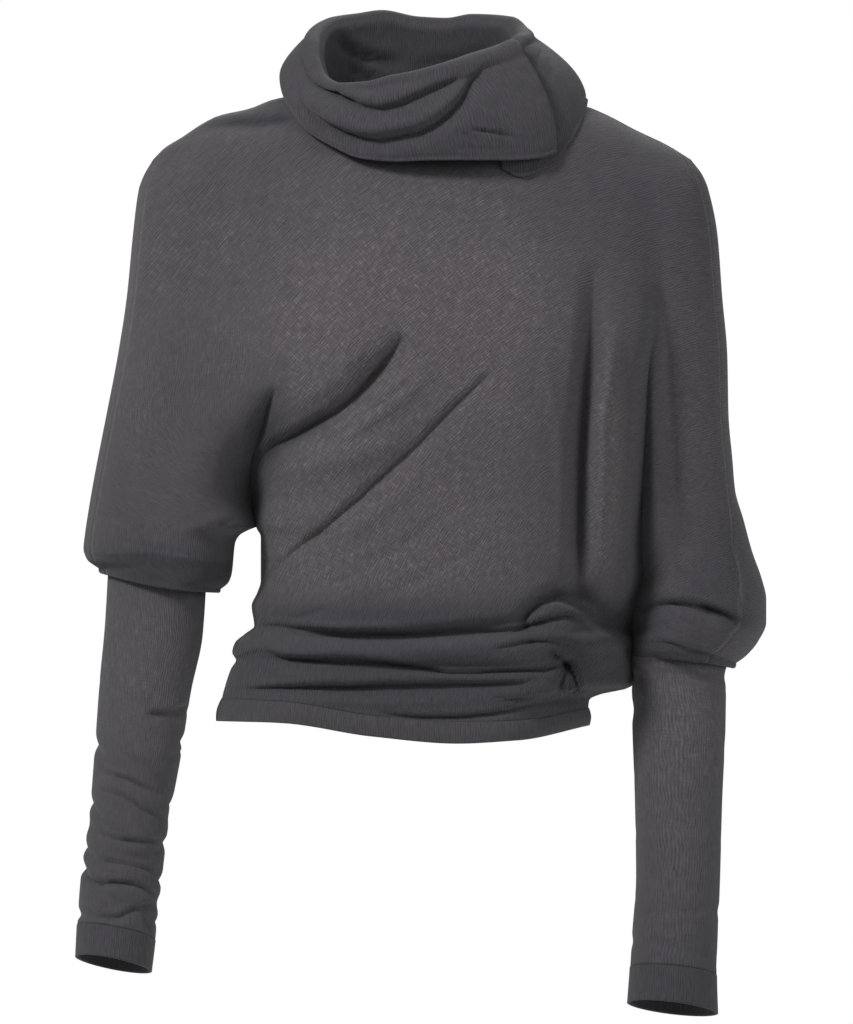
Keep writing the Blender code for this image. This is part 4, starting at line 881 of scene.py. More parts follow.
def lower_sleeve(arm, table, cuff_drop, gathers, creases):
    """Turned-in end of the puff, lower sleeve and cuff, as closed rings."""
    made = arms[arm]
    start = np.concatenate([made["front"][-1], made["back"][-1][-2:0:-1]])
    columns = made["strips"] * ARM_FINE
    even = np.pi * np.arange(2 * columns) / columns
    uneven = puff_angles(start, table, arm)
    first = sleeve_ring(table, table[0][0], arm, [], uneven)
    turned = [start]
    for k in range(1, TURN_ROWS + 1):
        t = k / TURN_ROWS
        points = start + (first - start) * (1 - math.cos(math.pi / 2 * t))
        points[:, 2] -= TURN_SAG * math.sin(math.pi * t) * (1 - t)
        turned.append(points)
    count = math.ceil((cuff_drop - table[0][0]) / SLEEVE_STEP)
    tube = [turned[-1]]
    for k, drop in enumerate(np.linspace(table[0][0], cuff_drop, count + 1)[1:], 1):
        angle = uneven + (even - uneven) * min(1, k / ANGLE_ROWS)
        quiet = soft_step((cuff_drop - drop) / QUIET_END)
        quiet_gathers = [g[:4] + (g[4] * quiet, g[5]) for g in gathers]
        quiet_creases = [(c[0], c[1], c[2] * quiet, c[3] * quiet, *c[4:]) for c in creases]
        tube.append(sleeve_ring(table, drop, arm, quiet_gathers, angle, quiet_creases))
    cuff = [tube[-1]]
    for drop in np.linspace(cuff_drop, table[-1][0], CUFF_ROWS + 1)[1:]:
        cuff.append(sleeve_ring(table, drop, arm, [], even))
    return closed(turned), closed(tube), closed(cuff)


right_turn, right_tube, right_cuff = lower_sleeve(
    "right arm", RIGHT_LOWER, RIGHT_CUFF_DROP, RIGHT_GATHERS + RIGHT_SMALL_GATHERS, RIGHT_CREASES)
left_turn, left_tube, left_cuff = lower_sleeve(
    "left arm", LEFT_LOWER, LEFT_CUFF_DROP, LEFT_GATHERS + LEFT_SMALL_GATHERS, LEFT_CREASES)
print("tubes:", right_tube.shape, left_tube.shape)

# %% Rings of the hem band
HEM_HEIGHT = [(-166, 17), (-112, 15.5), (-46, 15), (20, 15.5), (65, 14), (121, 13)]
HEM_MIDDLE_X = -20.0
HEM_SWELL = 1.5
HEM_FLARE = 0.5
HEM_CORNER = 3.5
HEM_CORNER_X = -130
HEM_CORNER_REACH = 30
HEM_ROWS = 9


def hem_rings():
    """Closed rings of the hem band, from the hem seam down."""
    top = np.concatenate([front_body[-1], back_body[-1][-2:0:-1]])
    height = blend(top[:, 0], *zip(*HEM_HEIGHT))
    away = top[:, :2] - np.array([HEM_MIDDLE_X, 0])
    away /= np.linalg.norm(away, axis=1)[:, None]
    rings = []
    for k in range(HEM_ROWS + 1):
        t = k / HEM_ROWS
        ring = top.copy()
        ring[:, 2] -= height * t
        ring[:, :2] += away * (HEM_SWELL * math.sin(math.pi * t) + HEM_FLARE * t)
        ring[:, 0] -= HEM_CORNER * t * soft_step((HEM_CORNER_X - top[:, 0]) / HEM_CORNER_REACH)
        rings.append(ring)
    return closed(rings)


hem = hem_rings()
print("hem band:", hem.shape)

# %% [markdown]
# ## The wrapped collar
# The collar is one long cut. Each column of its points runs up from the neckline inside the
# neck, over a soft roll and down the outside, and the columns go once round the neck and a
# little further, so that the end laps over the start. It has to lie on the shoulders without
# cutting through them, so each point is checked against the panels and eased away.

# %% Tables of the collar
# angle, rim z, rim r across, rim r deep, low edge z, low r across, low r deep
COLLAR = [
    (30, 34, 79, 71, -39, 106, 90), (38, 39, 80, 71, -45, 109, 96), (50, 48, 81, 71, -36, 114, 108),
    (60, 57, 82, 72, -23, 117, 121), (70, 64, 82, 73, -8, 118, 125), (80, 66, 82, 73, 5, 118, 116),
    (90, 68, 82, 74, 14, 118, 102),
    (105, 71, 82, 75, 13, 117, 99), (120, 78, 82, 76, 12, 116, 96), (150, 80, 82, 78, 2, 114, 96),
    (165, 77, 82, 78, 0, 113, 96), (180, 78, 82, 78, -2, 112, 97), (200, 83, 82, 78, 2, 112, 97),
    (215, 80.5, 82, 78, 4, 112, 96), (232, 78, 82, 78, 9, 113, 95), (245, 74, 82, 77, 15, 114, 94),
    (270, 62, 82, 75, 22, 116, 96),
    (285, 48, 84, 74, 10, 117, 112), (300, 33, 85, 74, -7, 117, 114), (315, 27, 84, 74, -20, 115, 108),
    (330, 28, 82, 73, -31, 110, 98), (345, 33, 80, 72, -33, 108, 94), (360, 36, 79, 72, -32, 108, 93),
    (375, 40, 79, 71.5, -32, 109, 95), (390, 46, 79, 71, -32, 111, 100), (405, 52, 84, 72, -30, 113, 111),
    (413, 57, 90, 73, -26, 113, 116),
]
COLLAR_RIM_X = -10.0
COLLAR_LOW_X = 2.0
COLLAR_Y = 1.0
COLLAR_START = 96
COLLAR_LAP = 18
LAP_LIFT = 5.0
LAP_LIFT_ANGLE = 345.0
LAP_LIFT_SPAN = 40.0
LAP_FOOT_IN = 0.07
LAP_FOOT_UP = 4.0
LAP_FOLD_SHARE = 0.25
NECK_MIDDLE_Y = 52.0
COLLAR_CLEAR = 3.5
COLLAR_SOFTENINGS = 6
ROLL_RADIUS = 7.0
ROLL_FROM_RIM = 2
STAND_SWELL = 3
INNER_FADE = 30
SIDE_FADE = 35
LAP_RIM_LIFT = 0.7
# Angle and span over which the outer folds rise beside the lap, and in which they flatten on it
FOLDS_FROM = (60, 20)
LAP_FOLDS_TO = (384, 10)
SHOULDER_LIFT = 10
COLLAR_BULGE = 9.0
STAND_ROWS = 12
ROLL_ROWS = 11
FALL_ROWS = 42
COLLAR_FOLDS = [
    (-60, -28, -20, -32, 20, -28, 4, 4, 1.2), (34, 24, 44, 0, 56, -20, 5, 6, -1.8),
    (10, -22, 40, -24, 70, -24, 4, 5, 1.2), (-104, 40, -100, 10, -84, -10, 4, 5, 2),
]
COLLAR_CREASES = [
    (6, 13, 9, 2.5, (-97, 56), (-92, 42), (-84, 28), (-76, 18), (-66, 14), (-55, 9), (-40, 6), (-24, 10),
     (-8, 17), (8, 24), (24, 30), (44, 38)),
    (6, 14, 11, 3, (-104, 13), (-92, 2), (-83, -5), (-70, -11), (-57, -15), (-44, -17), (-27, -14),
     (-11, -11), (2, -5), (13, 3), (23, 13), (31, 24), (39, 34), (47, 45), (56, 58), (66, 72)),
    (3, 5, 5, 1, (-80, 24), (-71, 16), (-62, 12)),
    (2.5, 4, 4.5, 1.0, (28, -8), (43, -10), (58, -13), (78, -17)),
    (3, 4, 2, 0.6, (23, -10), (35, -18)),
    (4, 5, 4, 1, (92, 38), (88, 26), (83, 13)),
    (3, 4, 3, 1, (86, 52), (80, 42)),
]
COLLAR_BACK_FOLDS = [
    (-100, 30, 0, 44, 90, 34, 12, 14, 8), (-96, 4, 0, 20, 100, 12, 10, 13, 6),
    (-60, 14, 0, 30, 70, 24, 4, 5, 1.6), (-90, -6, -10, 4, 80, 0, 4, 5, 1.4),
]
COLLAR_BACK_CREASES = [
    (5, 12, 6, 2, (-96, 30), (-60, 38), (-20, 43), (30, 42), (70, 36), (94, 30)),
    (5, 12, 5, 2, (-90, 6), (-50, 12), (0, 18), (50, 16), (96, 8)),
]
# Folds inside the neck, pressed away from its middle
INNER_CREASES = [
    (6, 12, 9, 3, (-76, 70), (-66, 62), (-52, 54), (-37, 51), (-20, 51)),
    (5, 9, 7, 2, (-66, 46), (-47, 38), (-34, 34), (-18, 34)),
    (6, 8, 5, 2, (-16, 46), (5, 50), (21, 52), (48, 58)),
    (4, 6, 5, 1, (62, 68), (64, 56)),
]
print("collar table:", len(COLLAR), "angles")


# %% Angle of each column of the collar
def collar_columns():
    """Feet of the columns on the neckline and their angles, the lap included."""
    ring = np.concatenate([front_body[0], back_body[0][-2:0:-1]])
    base = np.roll(ring, -COLLAR_START, axis=0)
    across, forward = (base[:, 0] - NECK_MIDDLE) / NECK_HALF, -base[:, 1] / NECK_MIDDLE_Y
    angles = np.unwrap(np.arctan2(across, forward) % (2 * np.pi))
    angles = np.degrees(angles)
    first, count = COLLAR[0][0], len(angles)
    angles[:FRONT_FINE] = first + (angles[FRONT_FINE] - first) * np.arange(FRONT_FINE) / FRONT_FINE
    lap = first + 360 + (COLLAR[-1][0] - 360 - first) * np.arange(COLLAR_LAP + 1) / COLLAR_LAP
    last = count - FRONT_FINE
    angles[last:] = angles[last] + (lap[0] - angles[last]) * np.arange(FRONT_FINE) / FRONT_FINE
    angles = np.concatenate([angles, lap])
    feet = np.concatenate([base, base[:COLLAR_LAP + 1]])
    inset = soft_step((np.arange(len(feet)) - last) / FRONT_FINE)[:, None]
    to_middle = np.stack([NECK_MIDDLE - feet[:, 0], -feet[:, 1], 0 * feet[:, 0]], -1)
    feet = feet + (to_middle * LAP_FOOT_IN + np.array([0, 0, LAP_FOOT_UP])) * inset
    return feet, angles


def eased_off_panels(x, y, z, clear):
    """y and z moved until the collar lies clear of the shoulders and panels under it."""
    new_y, new_z = y.copy(), z.copy()
    in_right = x < column(RIGHT_FOLD, 1, -z)
    in_left = x > column(LEFT_FOLD, 1, -z)
    for back in (False, True):
        for part, inside in (("right arm", in_right), ("left arm", in_left),
                             ("body", ~(in_right | in_left))):
            here = np.nonzero(inside & ((y > 0) == back))
            heights = z[here][:, None] + np.arange(0, SHOULDER_LIFT + 1)
            xs = x[here][:, None] + 0 * heights
            deep = np.abs(y[here])
            over = heights > top_line(xs, back) + clear
            under = panel_depth(xs, heights, part, back, layers=1) + clear
            free = over | (under < deep[:, None])
            rise = np.where(free.any(axis=1), np.argmax(free, axis=1), SHOULDER_LIFT + 1)
            lift = (rise <= 0.5 * (under[:, 0] - deep)) | (rise == 0)
            new_z[here] = np.where(lift, z[here] + rise, z[here])
            new_y[here] = np.where(lift, y[here], (1 if back else -1) * under[:, 0])
    return new_y, new_z


print("columns of the collar:", len(collar_columns()[1]))


# %% Columns of the collar from the neckline over the roll to the low edge
def softened(field, times):
    """The field with each value drawn to the mean of its neighbours."""
    for _ in range(times):
        padded = np.pad(field, 1, mode="edge")
        around = padded[:-2, 1:-1] + padded[2:, 1:-1] + padded[1:-1, :-2] + padded[1:-1, 2:]
        field = 0.5 * field + 0.125 * around
    return field


def collar_points():
    """Points of the collar, column by column round the neck."""
    feet, angles = collar_columns()
    rim_z, rim_a, rim_b, low_z, low_a, low_b = (
        column(COLLAR, k, angles)[:, None] for k in range(1, 7))
    near = soft_step((angles - LAP_LIFT_ANGLE) / LAP_LIFT_SPAN)[:, None]
    lift = LAP_LIFT * near
    sin, cos = np.sin(np.radians(angles))[:, None], np.cos(np.radians(angles))[:, None]
    roll = ROLL_RADIUS + lift
    rim_z = rim_z + lift * LAP_RIM_LIFT
    t = np.arange(1, STAND_ROWS + 1)[None] / STAND_ROWS
    inside = roll + ROLL_FROM_RIM
    top = in_space(COLLAR_RIM_X + (rim_a - inside) * sin, COLLAR_Y - (rim_b - inside) * cos,
                   rim_z - roll)
    stand = feet[:, None] + (top - feet[:, None]) * t[..., None]
    outward = STAND_SWELL * np.sin(np.pi * t)
    press = crease_depth(stand[..., 0], stand[..., 2], INNER_CREASES)
    press = press * soft_step(stand[..., 1] / INNER_FADE)
    push = outward + press * np.sin(np.pi * np.minimum(1, t * 0.9 + 0.1))
    stand = stand + np.stack([sin * push, -cos * push, 0 * push], -1)
    bend = np.pi * np.arange(1, ROLL_ROWS + 1)[None] / (ROLL_ROWS + 1)
    wide = -np.cos(bend) * roll
    rolled = in_space(COLLAR_RIM_X + (rim_a + wide) * sin, COLLAR_Y - (rim_b + wide) * cos,
                      rim_z - roll + roll * np.sin(bend))
    t = np.arange(FALL_ROWS + 1)[None] / FALL_ROWS
    bulge = COLLAR_BULGE * np.sin(np.pi * np.minimum(1, t * 1.05)) ** 0.8
    a = rim_a + roll + (low_a - rim_a - roll) * t + bulge + lift * t
    b = rim_b + roll + (low_b - rim_b - roll) * t + bulge + lift * t
    centre = COLLAR_RIM_X + (COLLAR_LOW_X - COLLAR_RIM_X) * t
    x, y = centre + a * sin, COLLAR_Y - b * cos
    z = rim_z - roll + (low_z - rim_z + roll) * t
    in_front = fold_depth(x, z, COLLAR_FOLDS) + crease_depth(x, z, COLLAR_CREASES)
    behind = fold_depth(x, z, COLLAR_BACK_FOLDS) + crease_depth(x, z, COLLAR_BACK_CREASES)
    folds = np.where(y < 0, in_front, behind)
    # They are shallower towards the low edge and at the two sides of the neck
    edge = np.minimum(1.0, (1 - t) * 4 + 0.35) * np.minimum(1.0, np.abs(y) / SIDE_FADE)
    under_lap = np.clip((angles - FOLDS_FROM[0]) / FOLDS_FROM[1], 0, 1)[:, None]
    on_lap = np.clip((angles - LAP_FOLDS_TO[0]) / LAP_FOLDS_TO[1], 0, 1)[:, None]
    over_lap = 1 - (1 - LAP_FOLD_SHARE) * on_lap
    press = folds * edge * under_lap * over_lap
    x, y = x - press * sin, y + press * cos
    eased_y, eased_z = eased_off_panels(x, y, z, COLLAR_CLEAR)
    eased_y = y + softened(eased_y - y, COLLAR_SOFTENINGS)
    eased_z = z + softened(eased_z - z, COLLAR_SOFTENINGS)
    eased_y, eased_z = eased_off_panels(x, eased_y, eased_z, COLLAR_CLEAR / 2)
    fall = in_space(x, eased_y, eased_z)
    return np.concatenate([feet[:, None], stand, rolled, fall], axis=1)


collar = collar_points()
print("collar:", collar.shape)

# %% [markdown]
# ## Sewing the grids into pieces
# Every part above is an even net of points, so each starts as a flat bmesh grid whose points
# are then moved to their places. The grids of one cut piece are joined where they share an
# edge. Each point also keeps how far across and down the cloth it lies, in millimetres. The
# knit reads these values, so that its ribs follow the cloth round every fold.


# %% Ways across and down the cloth
# Lengths over which the ribs of the wearer's right upper sleeve turn to run down the arm
RIB_TURN = 45
SLANTING_TO = 130
SLANTING_FADE = 110
SLANTING_EDGE = 40


def way_along(points, axis, zero):
    """Length along the rows or the columns of a net, 0 at the given place."""
    steps = np.linalg.norm(np.diff(points, axis=axis), axis=-1)
    start = np.zeros_like(np.take(steps, [0], axis=axis))
    way = np.concatenate([start, np.cumsum(steps, axis=axis)], axis=axis)
    return way - np.take(way, [zero], axis=axis)


def body_marks(rows, back, middle_column):
    """Ways of the body. They are measured on its form without folds, so the ribs stay even."""
    body = panel_points(rows, "body", back, 0)
    drop = -np.array([row[1] for row in rows])
    down = way_along(body, 0, 0) + drop[0]
    return {"across": way_along(body, 1, middle_column), "down": down, "sleeve": 0 * down}


def sleeve_marks(net, marks, inner_column, parting_row, back):
    """Ways of an upper sleeve, carried on from the body across the fold between them."""
    sign = -1 if inner_column == 0 else 1
    way = way_along(net, 1, net.shape[1] - 1)
    edge = marks["across"][:parting_row, inner_column]
    # Below the parting the outer edge goes on straight and the inner edge takes up the change
    outer = edge[-1] - sign * way[parting_row - 1, 0]
    edge = np.concatenate([edge, outer + sign * way[parting_row:, 0]])
    across = edge[:, None] - sign * way
    down = way_along(net, 0, 0) - net[0, :, 2]
    reach = np.abs(across - edge[:, None])
    if inner_column != 0:
        return {"across": across, "down": down, "sleeve": 0 * reach}
    # The front of the wearer's right shoulder keeps the slanting ribs of the chest
    slanting = 0 * reach
    if not back:
        low_down = soft_step((down - SLANTING_TO) / SLANTING_FADE)
        slanting = (1 - low_down) * soft_step((way - way[:, :1]) / SLANTING_EDGE)
    turned = soft_step(reach / RIB_TURN) * (1 - slanting)
    return {"across": across, "down": down, "sleeve": turned}


front_marks = body_marks(front_rows, False, FRONT_STRIPS * FRONT_FINE // 2)
back_marks = body_marks(back_rows, True, BACK_STRIPS * BACK_FINE // 2)
for arm, made in arms.items():
    side = 0 if arm == "right arm" else -1
    for face, marks in (("front", front_marks), ("back", back_marks)):
        made[face + " marks"] = sleeve_marks(made["smooth " + face], marks, side, made["parting"],
                                             face == "back")
print("cloth across the chest:", round(float(np.ptp(front_marks["across"][60]))), "mm")

# %% Tones of the cloth as worn, with painted light and shade
# Where the cloth is stretched over the figure it is thinner, lighter and warmer, and where it
# hangs loose or double it is darker. The table also paints shade into the colour: in the
# armpits, the creases of the bunched waist, the pockets by the hip and the puffs, the valleys
# of the drape on the viewer's right and the shoulder above it, and a dark line on the viewer's
# left shoulder by the collar. It paints highlights on the lit side of the drape's tube fold and
# just below that dark line: x, z, half width, half height, lean, amount
FRONT_TONES_AND_PAINTED_LIGHT = [
    (-20, -105, 115, 90, 0.2, 0.55), (-66, -178, 66, 70, 0.0, 0.95), (44, -162, 58, 72, 0.25, 1.0),
    (-60, -290, 74, 52, -0.4, 0.8), (-10, -330, 92, 62, -0.3, 0.85), (-108, -330, 40, 44, 0, 0.6),
    (60, -250, 44, 70, 0, 0.4), (128, -275, 11, 78, 0.03, 1.8), (196, -250, 24, 110, 0, 0.4),
    (-190, -110, 60, 80, 0, 0.35), (-226, -210, 22, 130, -0.2, 0.3), (140, -60, 80, 70, 0.4, -0.35),
    (94, -280, 30, 150, 0, -0.25), (160, -230, 9, 120, 0, -0.6), (220, -340, 40, 40, 0, -0.7),
    (-10, -425, 190, 42, 0, -1.5), (-150, -290, 24, 60, 0, -0.6), (-95, -240, 30, 18, 0.6, -0.5),
    (-98, -243, 8, 22, 1.5, -1.6), (-205, -338, 60, 18, 0, -0.7), (120, -404, 44, 36, 0, -1.3),
    (-128, -247, 12, 28, 0.1, -3.2), (-137, -285, 9, 26, 0, -2.4), (-10, -378, 130, 11, 0, -0.9),
    (143, -389, 13, 11, -0.6, -3.6), (229, -384, 11, 5, -0.4, -2.2), (104, -432, 5, 10, 0, -2.6),
    (113, -300, 5, 60, 0, -0.2), (-95, -2, 60, 16, 0, -0.4), (-142, -5, 34, 4.5, 0.2, -2.0),
    (-150, -15, 30, 5, 0.4, 0.5),
]


PLAIN_TONE = 0.42
TONE_SHARE = 0.6


def tone(x, z, table):
    """0 in loose cloth, 1 in stretched cloth, about 0.4 between. It is below 0 in the depth of a
    pleat, where the cloth lies over itself, and in the hollows where shade is painted."""
    total = np.full(np.shape(x), PLAIN_TONE)
    for cx, cz, half_wide, half_high, lean, amount in table:
        dx = (x - cx - lean * (z - cz)) / half_wide
        dz = (z - cz) / half_high
        total = total + TONE_SHARE * amount * np.exp(-(dx * dx + dz * dz))
    return total


# The ribs of the body run in wide arcs round a point low on the viewer's right
RIB_CENTRE = (314.0, 575.0)
RIB_RADIUS = 500.0
SHOULDER_EXTRA = 46.0
SHOULDER_EXTRA_REACH = 25.0
# Painted shade: where the tone falls below 0, in deep hollows and pleats, it adds this much to the mark of
# cloth that lies double
PLEAT_AND_HOLLOW_SHADE = 1.6


def rib_ways(net):
    """Ways across and along the ribs of the body. They are taken from the front view, with
    the extra length of the cloth that turns over the shoulder."""
    nearer = 1 + net[..., 1] / EYE_DISTANCE
    x, z = EYE_X + (net[..., 0] - EYE_X) / nearer, EYE_Z + (net[..., 2] - EYE_Z) / nearer
    over = SHOULDER_EXTRA * quarter(top_line(x, False) - z, SHOULDER_EXTRA_REACH)
    dx, down = x - RIB_CENTRE[0], over - z - RIB_CENTRE[1]
    return np.hypot(dx, down), RIB_RADIUS * np.arctan2(-down, dx)


def with_tone(net, marks, table, band=0.0):
    """Adds the tone, the mark of cloth that lies double with the painted shade of deep hollows, the
    seams and the way of the ribs to the marks of a net. A seam is above 0 where it is a dark groove
    and below 0 where a highlight is painted along it, as on a raised edge."""
    marks = dict(marks)
    worn = tone(net[..., 0], net[..., 2], table)
    marks["tone"] = np.clip(worn, 0, 1)
    # Painted shade of the deep hollows joins the mark of cloth that lies double
    marks["doubled"] = band + PLEAT_AND_HOLLOW_SHADE * np.clip(-worn, 0, 1)
    marks["seam"] = np.zeros(net.shape[:2])
    marks["rib_side"], marks["rib_along"] = rib_ways(net)
    return marks


BACK_TONES = [
    (0, -120, 130, 80, 0, 0.5), (-70, -180, 60, 80, 0, 0.4), (70, -180, 60, 80, 0, 0.4),
    (0, -300, 100, 60, 0, 0.4), (0, -420, 170, 38, 0, -0.6), (-190, -240, 50, 120, 0, -0.3),
    (190, -260, 50, 120, 0, -0.3),
]
print("tones:", len(FRONT_TONES_AND_PAINTED_LIGHT), "on the front and", len(BACK_TONES), "on the back")


# %% One piece of cloth from its grids
CLOTH_WALL = 1.3
DOUBLE_WALL = 2.2
# In metres
JOIN_WITHIN = 0.00002
NO_LENGTH = 0.000002
MARKS = ("across", "down", "sleeve", "tone", "doubled", "seam", "rib_side", "rib_along")


def grid_of_cloth(work, net, marks):
    """A bmesh grid with its points moved to the net's places, and the marks kept on them."""
    rows, columns = net.shape[:2]
    made = bmesh.ops.create_grid(work, x_segments=columns - 1, y_segments=rows - 1, size=1)
    layers = [work.verts.layers.float[name] for name in MARKS]
    values = [marks[name] for name in MARKS]
    places = net * MM
    for point in made["verts"]:
        row = round((1 - point.co.y) / 2 * (rows - 1))
        place = round((point.co.x + 1) / 2 * (columns - 1))
        point.co = places[row, place]
        for layer, value in zip(layers, values):
            point[layer] = value[row, place]


def piece_of_cloth(name, grids, wall, towards):
    """Joins the grids, turns the cloth outwards and gives it its thickness. towards is a point
    inside the garment."""
    work = bmesh.new()
    for mark in MARKS:
        work.verts.layers.float.new(mark)
    for net, marks in grids:
        grid_of_cloth(work, net, marks)
    bmesh.ops.remove_doubles(work, verts=work.verts, dist=JOIN_WITHIN)
    bmesh.ops.dissolve_degenerate(work, edges=work.edges, dist=NO_LENGTH)
    bmesh.ops.recalc_face_normals(work, faces=work.faces)
    inside = Vector(towards) * MM
    outward = sum((face.calc_center_median() - inside).normalized().dot(face.normal)
                  * face.calc_area() for face in work.faces)
    if outward < 0:
        bmesh.ops.reverse_faces(work, faces=work.faces)
    for face in work.faces:
        face.smooth = True
    area = sum(face.calc_area() for face in work.faces)
    mesh = bpy.data.meshes.new(name)
    work.to_mesh(mesh)
    work.free()
    cloth = bpy.data.objects.new(name, mesh)
    bpy.context.scene.collection.objects.link(cloth)
    thick = cloth.modifiers.new("wall", "SOLIDIFY")
    thick.thickness = wall * MM
    thick.offset = 0
    print(name, len(mesh.polygons), "faces", round(area, 4), "m2")
    return cloth


pieces = {}

# %% Front and back, with the upper sleeves and the turned-in ends of the puffs
SLEEVE_HEM = 24.0
TURNED_DOUBLED = 0.6
# Amounts of the seam mark: a dark groove above 0, a painted highlight below 0, as along a raised edge
SEAM_HIGHLIGHT = -1.0
SEAM_STRIP_HIGHLIGHT = -0.45
TUBE_SEAM = 0.4


def turned_marks(turn, made):
    """Marks of the turned-in end of a puff, carried on from the last row of the sleeve."""
    front, back = made["front marks"], made["back marks"]
    marks = {}
    for name in ("across", "down", "sleeve"):
        last = np.concatenate([front[name][-1], back[name][-1][-2:0:-1]])
        last = np.concatenate([last, last[:1]])
        marks[name] = np.tile(last, (len(turn), 1))
    marks["down"] = marks["down"] + way_along(turn, 0, 0)
    return with_tone(turn, marks, FRONT_TONES_AND_PAINTED_LIGHT, TURNED_DOUBLED)


def part_of(net, marks, columns):
    """Some columns of a net, with their marks."""
    return net[:, columns], {name: value[:, columns] for name, value in marks.items()}


front_grids = [(front_body, with_tone(front_body, front_marks, FRONT_TONES_AND_PAINTED_LIGHT))]
back_grids = [(back_body, with_tone(back_body, back_marks, BACK_TONES))]
for arm, turn in (("right arm", right_turn), ("left arm", left_turn)):
    made = arms[arm]
    seam, middle_column = made["seam"], made["strips"] * ARM_FINE
    ending = way_along(made["front"], 0, -1)
    if arm == "right arm":
        doubled = soft_step((ending + SLEEVE_HEM) / 2)
    else:
        doubled = soft_step((ending + 5) / 5) * 0.5
    front_arm_marks = with_tone(made["front"], made["front marks"], FRONT_TONES_AND_PAINTED_LIGHT, doubled)
    # Painted highlight along the over-arm seam and the turned strip outside it
    front_arm_marks["seam"][:, :seam] = SEAM_STRIP_HIGHLIGHT
    front_arm_marks["seam"][:, seam] = SEAM_HIGHLIGHT
    back_arm_marks = with_tone(made["back"], made["back marks"], BACK_TONES)
    turn_marks = turned_marks(turn, made)
    front_grids.append(part_of(made["front"], front_arm_marks, slice(seam, None)))
    front_grids.append(part_of(turn, turn_marks, slice(seam, middle_column + 1)))
    back_grids.append(part_of(made["front"], front_arm_marks, slice(0, seam + 1)))
    back_grids.append((made["back"], back_arm_marks))
    back_grids.append(part_of(turn, turn_marks, slice(0, seam + 1)))
    back_grids.append(part_of(turn, turn_marks, slice(middle_column, None)))
for name, grids in (("front_cloth", front_grids), ("back_cloth", back_grids)):
    pieces[name] = piece_of_cloth(name, grids, CLOTH_WALL, (0, 0, -200))
print("points in the front's grids:", sum(net.shape[0] * net.shape[1] for net, _ in front_grids))

# %% Lower sleeves, cuffs, hem band and collar
BAND_DOUBLED = 0.25
# Painted shade inside the neck, given to the stand's rows through the mark of cloth that lies double
NECK_INSIDE_SHADE = 0.9
COLLAR_WAY_ROW = 20


def tube_marks(net, doubled, seam_rows):
    """Marks of a tube. The way across runs from its outer side to its inner side both ways
    round, so that no rib ends at a join."""
    round_it = way_along(net, 1, 0)[0]
    half_way = np.minimum(round_it, round_it[-1] - round_it)
    marks = {"across": np.tile(half_way, (len(net), 1)), "down": way_along(net, 0, 0),
             "sleeve": np.ones(net.shape[:2])}
    marks = with_tone(net, marks, TUBE_TONES, doubled)
    for row in seam_rows:
        marks["seam"][row] = TUBE_SEAM
    return marks


TUBE_TONES = [
    (190, -450, 60, 70, 0, 0.55), (190, -560, 30, 110, 0, 0.1), (190, -660, 60, 50, 0, -0.5),
    (-214, -420, 50, 60, 0, 0.4), (-240, -600, 60, 90, 0, -0.25),
]
tubes = [
    ("lower_sleeve_right_cloth", right_tube, 0.0, CLOTH_WALL, (-228, -30, -480)),
    ("lower_sleeve_left_cloth", left_tube, 0.0, CLOTH_WALL, (190, -35, -530)),
    ("cuff_right_cloth", right_cuff, BAND_DOUBLED, DOUBLE_WALL, (-243, -67, -640)),
    ("cuff_left_cloth", left_cuff, BAND_DOUBLED, DOUBLE_WALL, (186, -68, -672)),
    ("hem_band_cloth", hem, BAND_DOUBLED, DOUBLE_WALL, (-20, 0, -470)),
]
for name, net, doubled, wall, inside in tubes:
    seam_rows = (0,) if name.startswith(("cuff", "hem")) else (0, -1)
    marks = tube_marks(net, doubled, seam_rows)
    pieces[name] = piece_of_cloth(name, [(net, marks)], wall, inside)

COLLAR_TONES = [(0, 0, 60, 60, 0, -0.2)]
collar_net = collar.transpose(1, 0, 2)
round_neck = way_along(collar_net, 1, 0)[COLLAR_WAY_ROW]
collar_marks = {"across": np.tile(round_neck, (len(collar_net), 1)),
                "down": way_along(collar_net, 0, 0), "sleeve": np.ones(collar_net.shape[:2])}
inner_rows = np.arange(len(collar_net))[:, None] < STAND_ROWS
# The stand inside the neck gets painted shade, the fall the mark of a double band
doubled = np.where(inner_rows, NECK_INSIDE_SHADE, BAND_DOUBLED)
collar_marks = with_tone(collar_net, collar_marks, COLLAR_TONES, doubled)
pieces["collar_cloth"] = piece_of_cloth(
    "collar_cloth", [(collar_net, collar_marks)], CLOTH_WALL, (0, 0, 30))

# %% [markdown]
# ## The knit
# The cloth is a fine crinkle rib: narrow raised ribs with small cross puckers between them.
# The ribs are far too many to model, so a node group draws them as height. It reads the ways
# across and down the cloth. On the body and the wearer's left upper sleeve the ribs run in
# wide arcs, and they slant on the front of the right shoulder. On the rest of the right upper
# sleeve, the lower sleeves, the collar and the bands they run straight down. Another group
# gives the tone: thin stretched cloth lets a warm taupe through, loose cloth and cloth that
# lies double are a cold grey. The same group paints light and shade into the colour: shade in
# the rib valleys, in deep hollows and inside the neck, and highlights on threads that catch the
# light and along the over-arm seam.


# %% Helpers for node groups
def new_group(name, inputs, outputs):
    """An empty node group with its sockets, its input node and its output node."""
    group = bpy.data.node_groups.new(name, "ShaderNodeTree")
    for label, kind, value in inputs:
        socket = group.interface.new_socket(name=label, in_out="INPUT", socket_type=kind)
        if value is not None:
            socket.default_value = value
    for label, kind in outputs:
        group.interface.new_socket(name=label, in_out="OUTPUT", socket_type=kind)
    return group, group.nodes.new("NodeGroupInput"), group.nodes.new("NodeGroupOutput")


